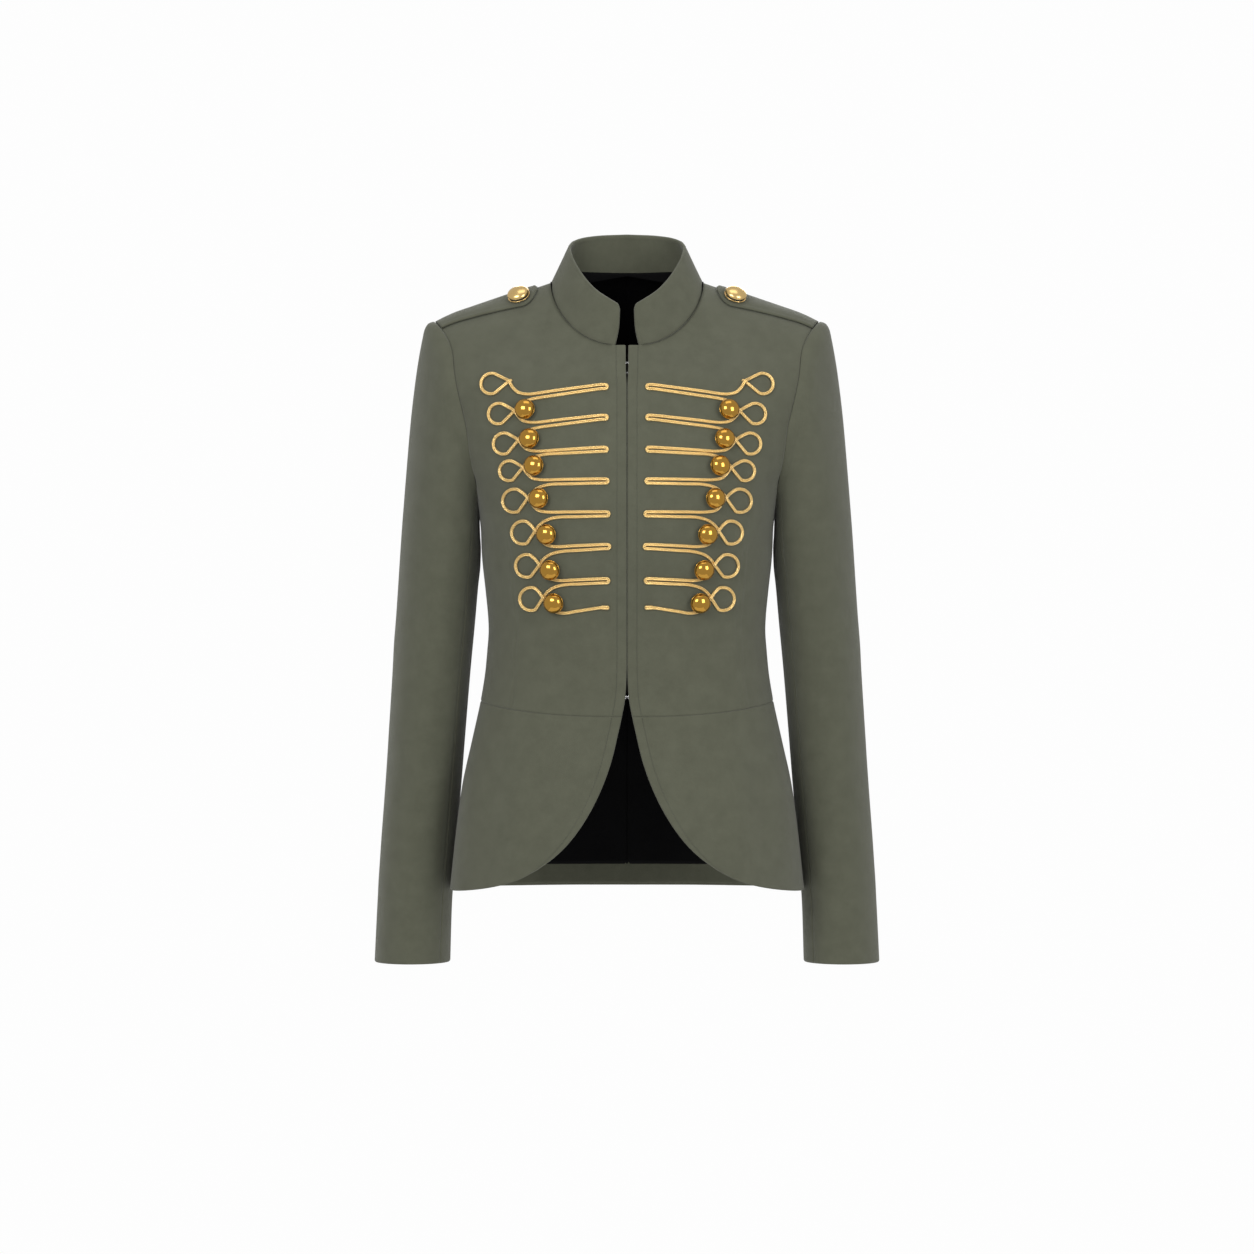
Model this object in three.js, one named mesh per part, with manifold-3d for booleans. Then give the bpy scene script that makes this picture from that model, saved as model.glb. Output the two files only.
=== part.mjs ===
import * as THREE from 'three';
import { mergeVertices } from 'three/addons/utils/BufferGeometryUtils.js';
import Module from 'manifold-3d';

const wasm = await Module();
wasm.setup();

// A short military jacket with a stand collar, a waist seam and a cut-away skirt, hollow as worn.
// Millimetres, +Z up, the front faces -Y and the wearer's right is at -X. The origin lies on the middle
// line at the height where the shoulder seams meet the collar.

const clothWall = 2;
const collarWall = 3.4;
const liningWall = 1;
const strapWall = 2.6;
// Half of the gap that two pieces leave at a seam, and the gap to a piece that lies on another.
const seamTrim = 0.18;
const layerGap = 0.5;

const colours = {
  cloth: 0x5f6154,
  lining: 0x151518,
  cord: 0xd9b36c,
  brass: 0xb98430,
  paleBrass: 0xcda866,
  steel: 0xc4c6c8,
};

// Sections of the body, from the neck to the hem. The reach is the half width that a section has or would
// have: above the underarm the armhole cuts it off. Depths are on the middle line, from Y = 0.
const sectionPower = 2.3;
const bodySections = [
  { z: 24, frontReach: 268, backReach: 222, frontDepth: 62, backDepth: 84 },
  { z: -40, frontReach: 245, backReach: 218, frontDepth: 67, backDepth: 91 },
  { z: -68, frontReach: 224, backReach: 213, frontDepth: 72.5, backDepth: 95 },
  { z: -103, frontReach: 199, backReach: 205, frontDepth: 87, backDepth: 100 },
  { z: -141, frontReach: 179.5, backReach: 195, frontDepth: 99.5, backDepth: 104 },
  { z: -178, frontReach: 166, backReach: 180, frontDepth: 111, backDepth: 104 },
  { z: -207, frontReach: 154.5, backReach: 162, frontDepth: 117, backDepth: 103 },
  { z: -233, frontReach: 147.5, backReach: 147.5, frontDepth: 119, backDepth: 101 },
  { z: -279, frontReach: 144.6, backReach: 144.6, frontDepth: 115, backDepth: 94 },
  { z: -309, frontReach: 141.3, backReach: 141.3, frontDepth: 108, backDepth: 88 },
  { z: -346, frontReach: 138.4, backReach: 138.4, frontDepth: 101, backDepth: 84 },
  { z: -384, frontReach: 140.9, backReach: 140.9, frontDepth: 97, backDepth: 85.5 },
  { z: -420, frontReach: 146.3, backReach: 146.3, frontDepth: 97, backDepth: 90 },
  { z: -460, frontReach: 154.4, backReach: 154.4, frontDepth: 102, backDepth: 98 },
  { z: -504, frontReach: 163.9, backReach: 163.9, frontDepth: 109, backDepth: 108 },
  { z: -550, frontReach: 170.3, backReach: 170.3, frontDepth: 116, backDepth: 117 },
  { z: -612, frontReach: 177.3, backReach: 177.3, frontDepth: 123, backDepth: 126 },
];

// The shoulder ridge runs from the neck point to the armhole, and the body rounds off below it.
const neckPointX = 76;
const shoulderX = 191;
const ridgeSlope = 0.337;
const neckPointZ = -1.6;
const ridgeDropFrom = 165;
const ridgeDrop = 3;
const neckRidgeY = 2;
const shoulderRidgeY = 8;
const frontRound = { height: 110, neckPower: 1.55, armPower: 1.85 };
const backRound = { height: 70, power: 2.2, neckRise: 26, neckRisePower: 1.3 };

// The necklines, and the level top of each front edge.
const neckFrontZ = -68.8;
const frontTopX = 12.7;
const frontNeckPower = 1.85;
const backNeckDepth = 50;

// The armhole ring, as seen from the side.
const armhole = { topZ: -43, bottomZ: -233, topY: 8, bottomY: 0, front: 56, back: 58 };
const armSteps = 9;
// Half widths between which an armhole point is looked for.
const armholeFromX = 60;
const armholeToX = 260;
// How far the cap of a sleeve stands out from the armhole seam.
const sleeveGap = 0.46;

// The front edge, from its top down to where it turns into the hem, and the hem from there to the side seam.
const frontEdge = [
  { z: -68.8, x: 1.9 },
  { z: -96, x: 1.5 },
  { z: -112, x: 0.8 },
  { z: -380, x: 0.7 },
  { z: -404, x: 1.4 },
  { z: -417, x: 2.5 },
  { z: -434, x: 5.6 },
  { z: -451, x: 9.4 },
  { z: -474.5, x: 15 },
  { z: -496, x: 22.2 },
  { z: -517, x: 31.5 },
  { z: -538, x: 43.5 },
  { z: -556.5, x: 57.3 },
  { z: -570.5, x: 71.5 },
  { z: -582.6, x: 88.1 },
];
const frontHem = [
  { x: 88.1, z: -582.6 },
  { x: 107, z: -592.4 },
  { x: 124, z: -598 },
  { x: 141, z: -601.8 },
  { x: 160, z: -605 },
  { x: 178, z: -607.4 },
];
const hemSideZ = -607.4;
const hemBackDrop = 3.6;

// The waist seam dips towards the front edge.
const waistSideZ = -419.6;
const waistFrontDip = 14;
const waistBackDip = 4;
const waistCurvePower = 1.6;

// The top edge of the collar from its front corner (place 0) past the neck point (6) to the back (10), and
// how far the front edge bows towards the middle.
const collarTop = [
  { place: 0, x: 7, y: -61.5, z: -29 },
  { place: 1, x: 17.5, y: -58.5, z: -22.6 },
  { place: 2, x: 30, y: -52, z: -14 },
  { place: 3, x: 41.5, y: -41, z: -1.5 },
  { place: 4, x: 50.5, y: -27, z: 12.5 },
  { place: 5, x: 56.5, y: -11.5, z: 25.5 },
  { place: 6, x: 58.6, y: 3.5, z: 34.5 },
  { place: 7, x: 56, y: 17, z: 40.6 },
  { place: 8, x: 46.5, y: 31, z: 45.4 },
  { place: 9, x: 26, y: 42.5, z: 48.9 },
  { place: 10, x: 0, y: 46, z: 50.2 },
];

// Frogging. Every row is a loop, a crossing and a pair of strands to a hairpin near the front edge, and a
// button sits over the strands beside the crossing. Dip is how far the strand swings below the crossing.
const cordWidth = 3.5;
const cordTopWidth = 2.2;
const cordHeight = 2.6;
const hairpinRadius = 2.05;
const strandSteps = 3;
// The way from a crossing towards the edge, with the share of the dip that a strand has fallen by there or how
// far it has risen.
const strandExit = [
  { towardsEdge: 0, dipShare: 0 },
  { towardsEdge: 3.6, dipShare: 0.45 },
  { towardsEdge: 9.6, dipShare: 0.86 },
  { towardsEdge: 20, dipShare: 1 },
];
const strandEntry = [
  { towardsEdge: 22, rise: 12.2 },
  { towardsEdge: 11, rise: 9.6 },
  { towardsEdge: 4, rise: 5.1 },
  { towardsEdge: 0, rise: 0 },
];
const loopTurns = [0, 38, 76, 112];
const hairpinTurns = [60, 0, -60];
const hairpinLead = 4;
const endSteps = 4;
const loopTail = { out: -3, up: 1.5 };
const cordEnd = { length: 8, width: 4.9 };
const frogColumns = ['loopX', 'loopTop', 'loopBottom', 'crossX', 'crossZ', 'dip', 'tipX', 'tipZ'];
const frogs = [
  [145.1, -95, -118.9, 115.6, -105.3, 13, 19.3, -111.4],
  [137.4, -125, -148.7, 109.8, -134.5, 12, 19.2, -141.9],
  [132.3, -154.4, -178.5, 105.6, -163.3, 11.5, 19.2, -173.5],
  [126.1, -181.7, -204.5, 100.9, -190.2, 12.6, 18.4, -204.4],
  [123, -209.4, -235.6, 95.7, -219.5, 14.7, 17.4, -236.3],
  [114.1, -240.8, -266.6, 88.4, -251.4, 16.3, 16.7, -267.8],
  [110.3, -273.4, -298.8, 84.4, -284.5, 16, 17.7, -300.8],
  [106.4, -305.5, -331.4, 81.1, -316.7, 15.7, 19.2, -329],
].map((row) => Object.fromEntries(row.map((value, n) => [frogColumns[n], value])));
const frontButtons = [
  { row: 2, x: 98.7, z: -134 },
  { row: 3, x: 94, z: -163 },
  { row: 4, x: 89.1, z: -189.1 },
  { row: 5, x: 84.2, z: -220.7 },
  { row: 6, x: 76.8, z: -255.5 },
  { row: 7, x: 73.5, z: -289.6 },
  { row: 8, x: 70.1, z: -322 },
];
const buttonFacets = 10;
// The shoulder of a dome, as shares of its radius and height, and the plate under its rim.
const dome = { across: 0.74, up: 0.74, underRim: 0.9, plate: 0.1 };
const buttonProfile = { width: 20, shank: 2, seat: 3.5, rim: 1.4, height: 8.2 };
const strapButtonProfile = { width: 22.6, shank: 2, seat: 0.4, rim: 1.4, height: 7 };

// A shoulder strap, from the armhole to its round end. Its middle line drifts to the front.
const strap = {
  endX: 89.6,
  armMiddleY: 9,
  endMiddleY: -7,
  armHalf: 21,
  endHalf: 18.5,
  roundLength: 17,
  endShare: 0.08,
};
const strapColumns = [0, 0.14, 0.28, 0.42, 0.56, 0.7, 0.82, 0.9, 0.96, 1];
const strapRows = 6;
// The button sits in front of the strap's middle line, by a share of its half width.
const strapButtonX = 107.8;
const strapButtonAcross = 0.49;

// The lining hangs inside the back, and the hem facing lies inside the back skirt.
const liningGap = 2.2;
const liningTrim = 1.2;
const facingHeight = 24.5;
// Columns of the lining, and the share of a row that it keeps clear of the facing.
const liningColumns = [0, 2, 4, 6, 7.5, 9];
const liningClear = 0.04;
const liningSteps = { arm: 5, side: 5, skirt: 4 };

// Hooks and eyes behind the front edges.
const hookHeights = [-85.3, -95.6, -414.5];
const hookLoop = { length: 7, height: 4.6, wire: 1.1, gap: 0.75 };
const nearEdgeX = 0.4;

// Rings of a sleeve, each from its outer point to its inner point. Ring 0 is the armhole.
const sleeveRings = [
  { ring: 0, outerX: 191.8, outerZ: -43, innerX: 147.9, innerZ: -233.3, middleY: 4, depth: 57 },
  { ring: 1, outerX: 195.2, outerZ: -40.2, innerX: 148.6, innerZ: -236, middleY: 4.5, depth: 57.5 },
  { ring: 2, outerX: 199.8, outerZ: -41.7, innerX: 149, innerZ: -239.5, middleY: 5, depth: 58 },
  { ring: 3, outerX: 203.8, outerZ: -47.8, innerX: 149.2, innerZ: -243.5, middleY: 5.5, depth: 58.5 },
  { ring: 4, outerX: 206, outerZ: -58.5, innerX: 149.3, innerZ: -248, middleY: 6, depth: 59 },
  { ring: 5, outerX: 210, outerZ: -83, innerX: 149.2, innerZ: -256, middleY: 7, depth: 59 },
  { ring: 6, outerX: 215.2, outerZ: -127, innerX: 149, innerZ: -268, middleY: 8.5, depth: 58.5 },
  { ring: 7, outerX: 220, outerZ: -179, innerX: 149, innerZ: -284, middleY: 11, depth: 57.5 },
  { ring: 8, outerX: 225.3, outerZ: -240, innerX: 150, innerZ: -306, middleY: 14, depth: 56 },
  { ring: 9, outerX: 230, outerZ: -308, innerX: 152.5, innerZ: -340, middleY: 18, depth: 54 },
  { ring: 10, outerX: 235, outerZ: -380, innerX: 157.4, innerZ: -390, middleY: 23, depth: 51.5 },
  { ring: 11, outerX: 239, outerZ: -440, innerX: 162, innerZ: -444, middleY: 27, depth: 49.5 },
  { ring: 12, outerX: 243.4, outerZ: -505, innerX: 167, innerZ: -506, middleY: 30, depth: 47.5 },
  { ring: 13, outerX: 248.3, outerZ: -570, innerX: 172.4, innerZ: -570, middleY: 32, depth: 45.5 },
  { ring: 14, outerX: 251.8, outerZ: -630, innerX: 176.6, innerZ: -630, middleY: 32, depth: 44 },
  { ring: 15, outerX: 254.2, outerZ: -682, innerX: 178, innerZ: -682, middleY: 30, depth: 43 },
];
const lastRing = 15;
const blendRings = 9;
const frontSeamStep = 7;
const backSeamStep = -6;

const nearZero = 1e-6;
const solveRounds = 50;

// A smooth value between the rows of a table, whose key column rises or falls all the way.
function read(table, key, at, column) {
  const last = table.length - 1;
  const rising = table[last][key] > table[0][key];
  let row = 0;
  while (row < last - 1 && (rising ? at > table[row + 1][key] : at < table[row + 1][key])) {
    row += 1;
  }
  const secant = (n) => (table[n + 1][column] - table[n][column]) / (table[n + 1][key] - table[n][key]);
  const slope = (n) => {
    if (n === 0 || n === last) {
      return secant(n === 0 ? 0 : last - 1);
    }
    const before = secant(n - 1);
    const after = secant(n);
    return before * after > 0 ? (2 * before * after) / (before + after) : 0;
  };
  const span = table[row + 1][key] - table[row][key];
  const s = THREE.MathUtils.clamp((at - table[row][key]) / span, 0, 1);
  const ease = s * s * (3 - 2 * s);
  const turn = s * (1 - s) * span;
  return THREE.MathUtils.lerp(table[row][column], table[row + 1][column], ease)
    + turn * ((1 - s) * slope(row) - s * slope(row + 1));
}

// The value between low and high where a rising function reaches a goal.
function solve(rising, goal, low, high) {
  let below = low;
  let above = high;
  for (let n = 0; n < solveRounds; n += 1) {
    const middle = (below + above) / 2;
    if (rising(middle) < goal) {
      below = middle;
    } else {
      above = middle;
    }
  }
  return (below + above) / 2;
}

const { lerp, clamp, degToRad } = THREE.MathUtils;
const roundOff = (t, power) => (1 - (1 - t) ** power) ** (1 / power);

// The body surface. X is a half width here, and both sides are alike.
function ridgeZ(x) {
  const drop = ridgeDrop * (Math.max(x - ridgeDropFrom, 0) / (shoulderX - ridgeDropFrom)) ** 2;
  return neckPointZ - ridgeSlope * (x - neckPointX) - drop;
}

function backRidgeZ(x) {
  const rise = backRound.neckRise * (1 - (Math.min(x, neckPointX) / neckPointX) ** backRound.neckRisePower);
  return ridgeZ(Math.max(x, neckPointX)) + rise;
}

function ridgeY(x) {
  return lerp(neckRidgeY, shoulderRidgeY, (x - neckPointX) / (shoulderX - neckPointX));
}

function sectionEdge(x, reach) {
  const part = Math.min(x / reach, 1);
  return (1 - part ** sectionPower) ** (1 / sectionPower);
}

function frontY(x, z) {
  const below = clamp((ridgeZ(x) - z) / frontRound.height, 0, 1);
  const along = clamp((x - neckPointX) / (shoulderX - neckPointX), 0, 1);
  const f = roundOff(below, lerp(frontRound.neckPower, frontRound.armPower, along));
  const reach = read(bodySections, 'z', z, 'frontReach');
  const depth = read(bodySections, 'z', z, 'frontDepth') * sectionEdge(x, reach);
  return ridgeY(x) * (1 - f) - depth * f;
}

function backY(x, z) {
  const f = roundOff(clamp((backRidgeZ(x) - z) / backRound.height, 0, 1), backRound.power);
  const reach = read(bodySections, 'z', z, 'backReach');
  const depth = read(bodySections, 'z', z, 'backDepth') * sectionEdge(x, reach);
  return ridgeY(x) * (1 - f) + depth * f;
}

// The armhole point at a step from the shoulder (0) to the underarm (armSteps).
function armholePoint(step, isFront) {
  const angle = (Math.PI * step) / armSteps;
  const fall = (1 - Math.cos(angle)) / 2;
  const z = lerp(armhole.topZ, armhole.bottomZ, fall);
  const bulge = Math.sin(angle) * (isFront ? -armhole.front : armhole.back);
  const y = lerp(armhole.topY, armhole.bottomY, fall) + bulge;
  if (fall < nearZero) {
    return new THREE.Vector3(shoulderX, ridgeY(shoulderX), z);
  }
  const widest = solve((x) => -ridgeZ(x), -z, neckPointX, armholeToX);
  const reach = read(bodySections, 'z', z, isFront ? 'frontReach' : 'backReach');
  const far = Math.min(widest, reach);
  const x = isFront
    ? solve((at) => frontY(at, z), y, armholeFromX, far)
    : solve((at) => -backY(at, z), -y, armholeFromX, far);
  return new THREE.Vector3(x, isFront ? frontY(x, z) : backY(x, z), z);
}

// Columns of a front: the level top of its edge, its neckline and its shoulder. Rows: the armhole, then the
// side down to the waist seam.
const edgeColumns = 1;
const neckColumns = 6;
const backNeckColumns = 4;
const shoulderColumns = 5;
const frontColumns = edgeColumns + neckColumns + shoulderColumns;
const backColumns = backNeckColumns + shoulderColumns;
const sideRows = 7;
const bodyRows = armSteps + sideRows;
const skirtRows = 7;
const facingTop = skirtRows - (skirtRows * facingHeight) / (waistSideZ - hemSideZ);

function shoulderLineX(part) {
  return lerp(neckPointX, shoulderX, part);
}

function frontTopPoint(column) {
  if (column <= edgeColumns) {
    return { x: lerp(frontEdge[0].x, frontTopX, column / edgeColumns), z: neckFrontZ };
  }
  if (column <= edgeColumns + neckColumns) {
    const angle = ((column - edgeColumns) / neckColumns) * (Math.PI / 2);
    const across = Math.sin(angle) ** (2 / frontNeckPower);
    const down = Math.cos(angle) ** (2 / frontNeckPower);
    return {
      x: lerp(frontTopX, neckPointX, across),
      z: lerp(neckPointZ, neckFrontZ, down),
    };
  }
  const x = shoulderLineX((column - edgeColumns - neckColumns) / shoulderColumns);
  return { x, z: ridgeZ(x) };
}

function backTopPoint(column) {
  if (column <= backNeckColumns) {
    const angle = (column / backNeckColumns) * (Math.PI / 2);
    const x = neckPointX * Math.sin(angle);
    const y = neckRidgeY + backNeckDepth * Math.cos(angle);
    const ridge = backRidgeZ(x);
    const fall = solve((at) => backY(x, ridge - at), y, 0, backRound.height);
    return { x, z: ridge - (column === backNeckColumns ? 0 : fall) };
  }
  const x = shoulderLineX((column - backNeckColumns) / shoulderColumns);
  return { x, z: ridgeZ(x) };
}

function frontEdgeX(z) {
  return read(frontEdge, 'z', z, 'x');
}

// The half width at a column of a section that runs round from its edge to the side seam.
function roundX(reach, edgeX, part) {
  const from = Math.asin((edgeX / reach) ** (sectionPower / 2));
  return reach * Math.sin(lerp(from, Math.PI / 2, part)) ** (2 / sectionPower);
}

function waistZ(part, dip) {
  return waistSideZ - dip * Math.cos((part * Math.PI) / 2) ** waistCurvePower;
}

// A point of the bodice at a column from the middle to the side and a row from the top to the waist seam.
function bodicePoint(column, row, isFront) {
  const columns = isFront ? frontColumns : backColumns;
  const part = column / columns;
  const reachName = isFront ? 'frontReach' : 'backReach';
  const top = isFront ? frontTopPoint(column) : backTopPoint(column);
  const edgeAt = isFront ? frontEdgeX : () => 0;
  let x;
  let z;
  if (row <= armSteps) {
    const fall = (1 - Math.cos((Math.PI * row) / armSteps)) / 2;
    z = lerp(top.z, armhole.bottomZ, fall);
    const low = armhole.bottomZ;
    const reach = read(bodySections, 'z', low, reachName);
    const lowShare = (roundX(reach, edgeAt(low), part) - edgeAt(low)) / (reach - edgeAt(low));
    const topEdge = isFront ? frontEdge[0].x : 0;
    const topShare = (top.x - topEdge) / (shoulderX - topEdge);
    const outerX = armholePoint(row, isFront).x;
    x = lerp(edgeAt(z), outerX, lerp(topShare, lowShare, fall));
  } else {
    const low = waistZ(part, isFront ? waistFrontDip : waistBackDip);
    z = lerp(armhole.bottomZ, low, (row - armSteps) / sideRows);
    x = roundX(read(bodySections, 'z', z, reachName), edgeAt(z), part);
  }
  return new THREE.Vector3(x, isFront ? frontY(x, z) : backY(x, z), z);
}

// A point of the skirt at a column from its front edge, or the middle of the back, to the side seam.
function skirtPoint(column, row, isFront) {
  const part = column / (isFront ? frontColumns : backColumns);
  const down = row / skirtRows;
  const top = waistZ(part, isFront ? waistFrontDip : waistBackDip);
  if (!isFront) {
    const low = hemSideZ - hemBackDrop * Math.cos((part * Math.PI) / 2);
    const z = lerp(top, low, down);
    const x = roundX(read(bodySections, 'z', z, 'backReach'), 0, part);
    return new THREE.Vector3(x, backY(x, z), z);
  }
  const edgeLow = frontEdge[frontEdge.length - 1];
  const edgeZ = lerp(waistZ(0, waistFrontDip), edgeLow.z, down);
  const lowX = roundX(read(bodySections, 'z', hemSideZ, 'frontReach'), edgeLow.x, part);
  const z = lerp(top, read(frontHem, 'x', lowX, 'z'), down);
  const x = roundX(read(bodySections, 'z', z, 'frontReach'), frontEdgeX(edgeZ), part);
  return new THREE.Vector3(x, frontY(x, z), z);
}

// The inside reference of the body, which the normals point away from.
const insideDrop = 20;
const bodyAxis = (point) => new THREE.Vector3(0, 0, point.z - insideDrop);

// A point of a sleeve at a step round it and a ring down it. Step 0 is on the outside, steps up to armSteps
// run over the front to the inside, and steps down to -armSteps run over the back.
function sleevePoint(step, ring) {
  const at = (column) => read(sleeveRings, 'ring', ring, column);
  const angle = (Math.PI * step) / armSteps;
  const share = (1 + Math.cos(angle)) / 2;
  const point = new THREE.Vector3(
    lerp(at('innerX'), at('outerX'), share),
    at('middleY') - at('depth') * Math.sin(angle),
    lerp(at('innerZ'), at('outerZ'), share),
  );
  if (ring < blendRings) {
    const s = ring / blendRings;
    const weight = 1 - s * s * (3 - 2 * s);
    const isFront = step >= 0;
    const seam = armholePoint(Math.abs(step), isFront);
    const first = sleeveRings[0];
    const plain = new THREE.Vector3(
      lerp(first.innerX, first.outerX, share),
      first.middleY - first.depth * Math.sin(angle),
      lerp(first.innerZ, first.outerZ, share),
    );
    const shift = seam.sub(plain);
    shift.x += sleeveGap;
    point.addScaledVector(shift, weight);
  }
  return point;
}

function sleeveAxis(ring) {
  const at = (column) => read(sleeveRings, 'ring', ring, column);
  const middle = (outer, inner) => (at(outer) + at(inner)) / 2;
  return new THREE.Vector3(middle('outerX', 'innerX'), at('middleY'), middle('outerZ', 'innerZ'));
}

// A point of the collar at a place from its front edge (0) past the neck point to the middle of the back.
const collarPlaces = neckColumns + backNeckColumns;
const collarRows = 3;
const collarBow = 1.6;
const collarMiddleY = -8;
// The collar stands back from the neckline by more, because its thick wall leans over the seam.
const collarSeat = 1;

function collarPoint(place, row) {
  const up = row / collarRows;
  const seam = place <= neckColumns
    ? bodicePoint(edgeColumns + place, 0, true)
    : bodicePoint(collarPlaces - place, 0, false);
  const edge = new THREE.Vector3(
    read(collarTop, 'place', place, 'x'),
    read(collarTop, 'place', place, 'y'),
    read(collarTop, 'place', place, 'z'),
  );
  const point = seam.clone().lerp(edge, up);
  point.x -= collarBow * Math.sin(Math.PI * up) * Math.max(1 - place, 0);
  return point;
}

// Meshes and solids. Corners lie on whole thousandths of a millimetre.
const grain = 1000;

function closedGeometry(points, faces) {
  let volume = 0;
  for (let n = 0; n < faces.length; n += 3) {
    const [a, b, c] = [points[faces[n]], points[faces[n + 1]], points[faces[n + 2]]];
    volume += a.dot(b.clone().cross(c));
  }
  const order = volume > 0 ? faces : faces.slice().reverse();
  const geometry = new THREE.BufferGeometry();
  const snap = (value) => Math.round(value * grain) / grain;
  const values = points.flatMap((point) => [snap(point.x), snap(point.y), snap(point.z)]);
  geometry.setAttribute('position', new THREE.Float32BufferAttribute(values, 3));
  geometry.setIndex(order);
  return geometry;
}

const normalStep = 0.01;

function normalAt(pointAt, column, row, columns, rows) {
  const [firstColumn, lastColumn] = [columns[0], columns[columns.length - 1]];
  const [firstRow, lastRow] = [rows[0], rows[rows.length - 1]];
  const across = pointAt(Math.min(column + normalStep, lastColumn), row)
    .sub(pointAt(Math.max(column - normalStep, firstColumn), row));
  const down = pointAt(column, Math.min(row + normalStep, lastRow))
    .sub(pointAt(column, Math.max(row - normalStep, firstRow)));
  const normal = across.cross(down);
  // On the middle line the cloth faces straight to the front or the back.
  if (Math.abs(pointAt(column, row).x) < nearZero) {
    normal.x = 0;
  }
  return normal.normalize();
}

// Moves the border rows and columns of a grid in, so that a seam keeps its gap.
function trimGrid(grid, trim) {
  const lastRow = grid.length - 1;
  const lastColumn = grid[0].length - 1;
  const pull = (point, towards, amount) => {
    const way = towards.clone().sub(point).normalize();
    point.addScaledVector(way, amount);
  };
  grid.forEach((line) => {
    pull(line[0], line[1], trim.first);
    pull(line[lastColumn], line[lastColumn - 1], trim.last);
  });
  for (let n = 0; n <= lastColumn; n += 1) {
    pull(grid[0][n], grid[1][n], trim.top);
    pull(grid[lastRow][n], grid[lastRow - 1][n], trim.bottom);
  }
}

// A closed wall between a grid of outer points and the same points moved along their normals.
function wallGeometry(pointAt, columns, rows, insideAt, options = {}) {
  const { thickness = clothWall, lift = 0, trim = {} } = options;
  const grid = rows.map((row) => columns.map((column) => pointAt(column, row)));
  const normals = rows.map((row) => columns.map((column) => normalAt(pointAt, column, row, columns, rows)));
  const middleRow = Math.floor(rows.length / 2);
  const middleColumn = Math.floor(columns.length / 2);
  const middle = grid[middleRow][middleColumn];
  const outwards = middle.clone().sub(insideAt(middle, rows[middleRow]));
  const sign = Math.sign(normals[middleRow][middleColumn].dot(outwards));
  trimGrid(grid, { first: 0, last: 0, top: 0, bottom: 0, ...trim });
  const width = columns.length;
  const height = rows.length;
  const layer = width * height;
  const points = [];
  [lift, lift - thickness].forEach((offset) => {
    grid.forEach((line, r) => {
      line.forEach((point, c) => points.push(point.clone().addScaledVector(normals[r][c], sign * offset)));
    });
  });
  const faces = [];
  const quad = (a, b, c, d) => faces.push(a, b, d, b, c, d);
  for (let c = 0; c < width - 1; c += 1) {
    const low = (height - 1) * width + c;
    quad(c, c + 1, layer + c + 1, layer + c);
    quad(low, layer + low, layer + low + 1, low + 1);
  }
  for (let r = 0; r < height - 1; r += 1) {
    const left = r * width;
    const right = left + width - 1;
    quad(left, layer + left, layer + left + width, left + width);
    quad(right, right + width, layer + right + width, layer + right);
  }
  for (let r = 0; r < height - 1; r += 1) {
    for (let c = 0; c < width - 1; c += 1) {
      const at = r * width + c;
      quad(at, at + width, at + width + 1, at + 1);
      quad(layer + at, layer + at + 1, layer + at + width + 1, layer + at + width);
    }
  }
  return closedGeometry(points, faces);
}

function steps(from, to, count) {
  return Array.from({ length: count + 1 }, (_, n) => lerp(from, to, n / count));
}

function addPiece(group, name, geometry, colour, finish = {}) {
  const look = { color: colour, roughness: 0.9, metalness: 0, ...finish };
  const material = new THREE.MeshStandardMaterial(look);
  const mesh = new THREE.Mesh(geometry, material);
  mesh.name = name;
  group.add(mesh);
  return mesh;
}

// A point of the front or of the shoulder, and the direction that the cloth faces there.
function frontPoint(x, z) {
  return new THREE.Vector3(x, frontY(x, z), z);
}

function frontNormal(x, z) {
  const reachStep = 0.2;
  const slopeX = (frontY(x + reachStep, z) - frontY(x - reachStep, z)) / (2 * reachStep);
  const slopeZ = (frontY(x, z + reachStep) - frontY(x, z - reachStep)) / (2 * reachStep);
  return new THREE.Vector3(slopeX, -1, slopeZ).normalize();
}

function shoulderPoint(x, y) {
  const ridge = ridgeZ(x);
  const isFront = y < ridgeY(x);
  const fall = isFront
    ? solve((at) => -frontY(x, ridge - at), -y, 0, frontRound.height)
    : solve((at) => backY(x, ridge - at), y, 0, backRound.height);
  return new THREE.Vector3(x, y, ridge - fall);
}

function armholeXAt(y) {
  const isFront = y < armhole.topY;
  const offset = (at) => Math.abs(armholePoint(at, isFront).y - armhole.topY);
  const step = solve(offset, Math.abs(y - armhole.topY), 0, armSteps / 3);
  return armholePoint(step, isFront).x;
}

// A point of a shoulder strap, along it from the armhole (0 to 1) and across it from the back (-1) to the
// front (1).
function strapPoint(along, across) {
  const middleY = lerp(strap.armMiddleY, strap.endMiddleY, along);
  const length = shoulderX - strap.endX;
  const toEnd = Math.min(((1 - along) * length) / strap.roundLength, 1);
  const round = Math.sqrt(Math.max(1 - (1 - toEnd) ** 2, strap.endShare));
  const y = middleY - across * lerp(strap.armHalf, strap.endHalf, along) * round;
  const x = lerp(armholeXAt(y) - 2 * layerGap, strap.endX, along);
  return shoulderPoint(x, y);
}

// A point of the back lining at a column and a row that runs on from the bodice into the skirt.
function liningPoint(column, row) {
  return row <= bodyRows ? bodicePoint(column, row, false) : skirtPoint(column, row - bodyRows, false);
}

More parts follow.
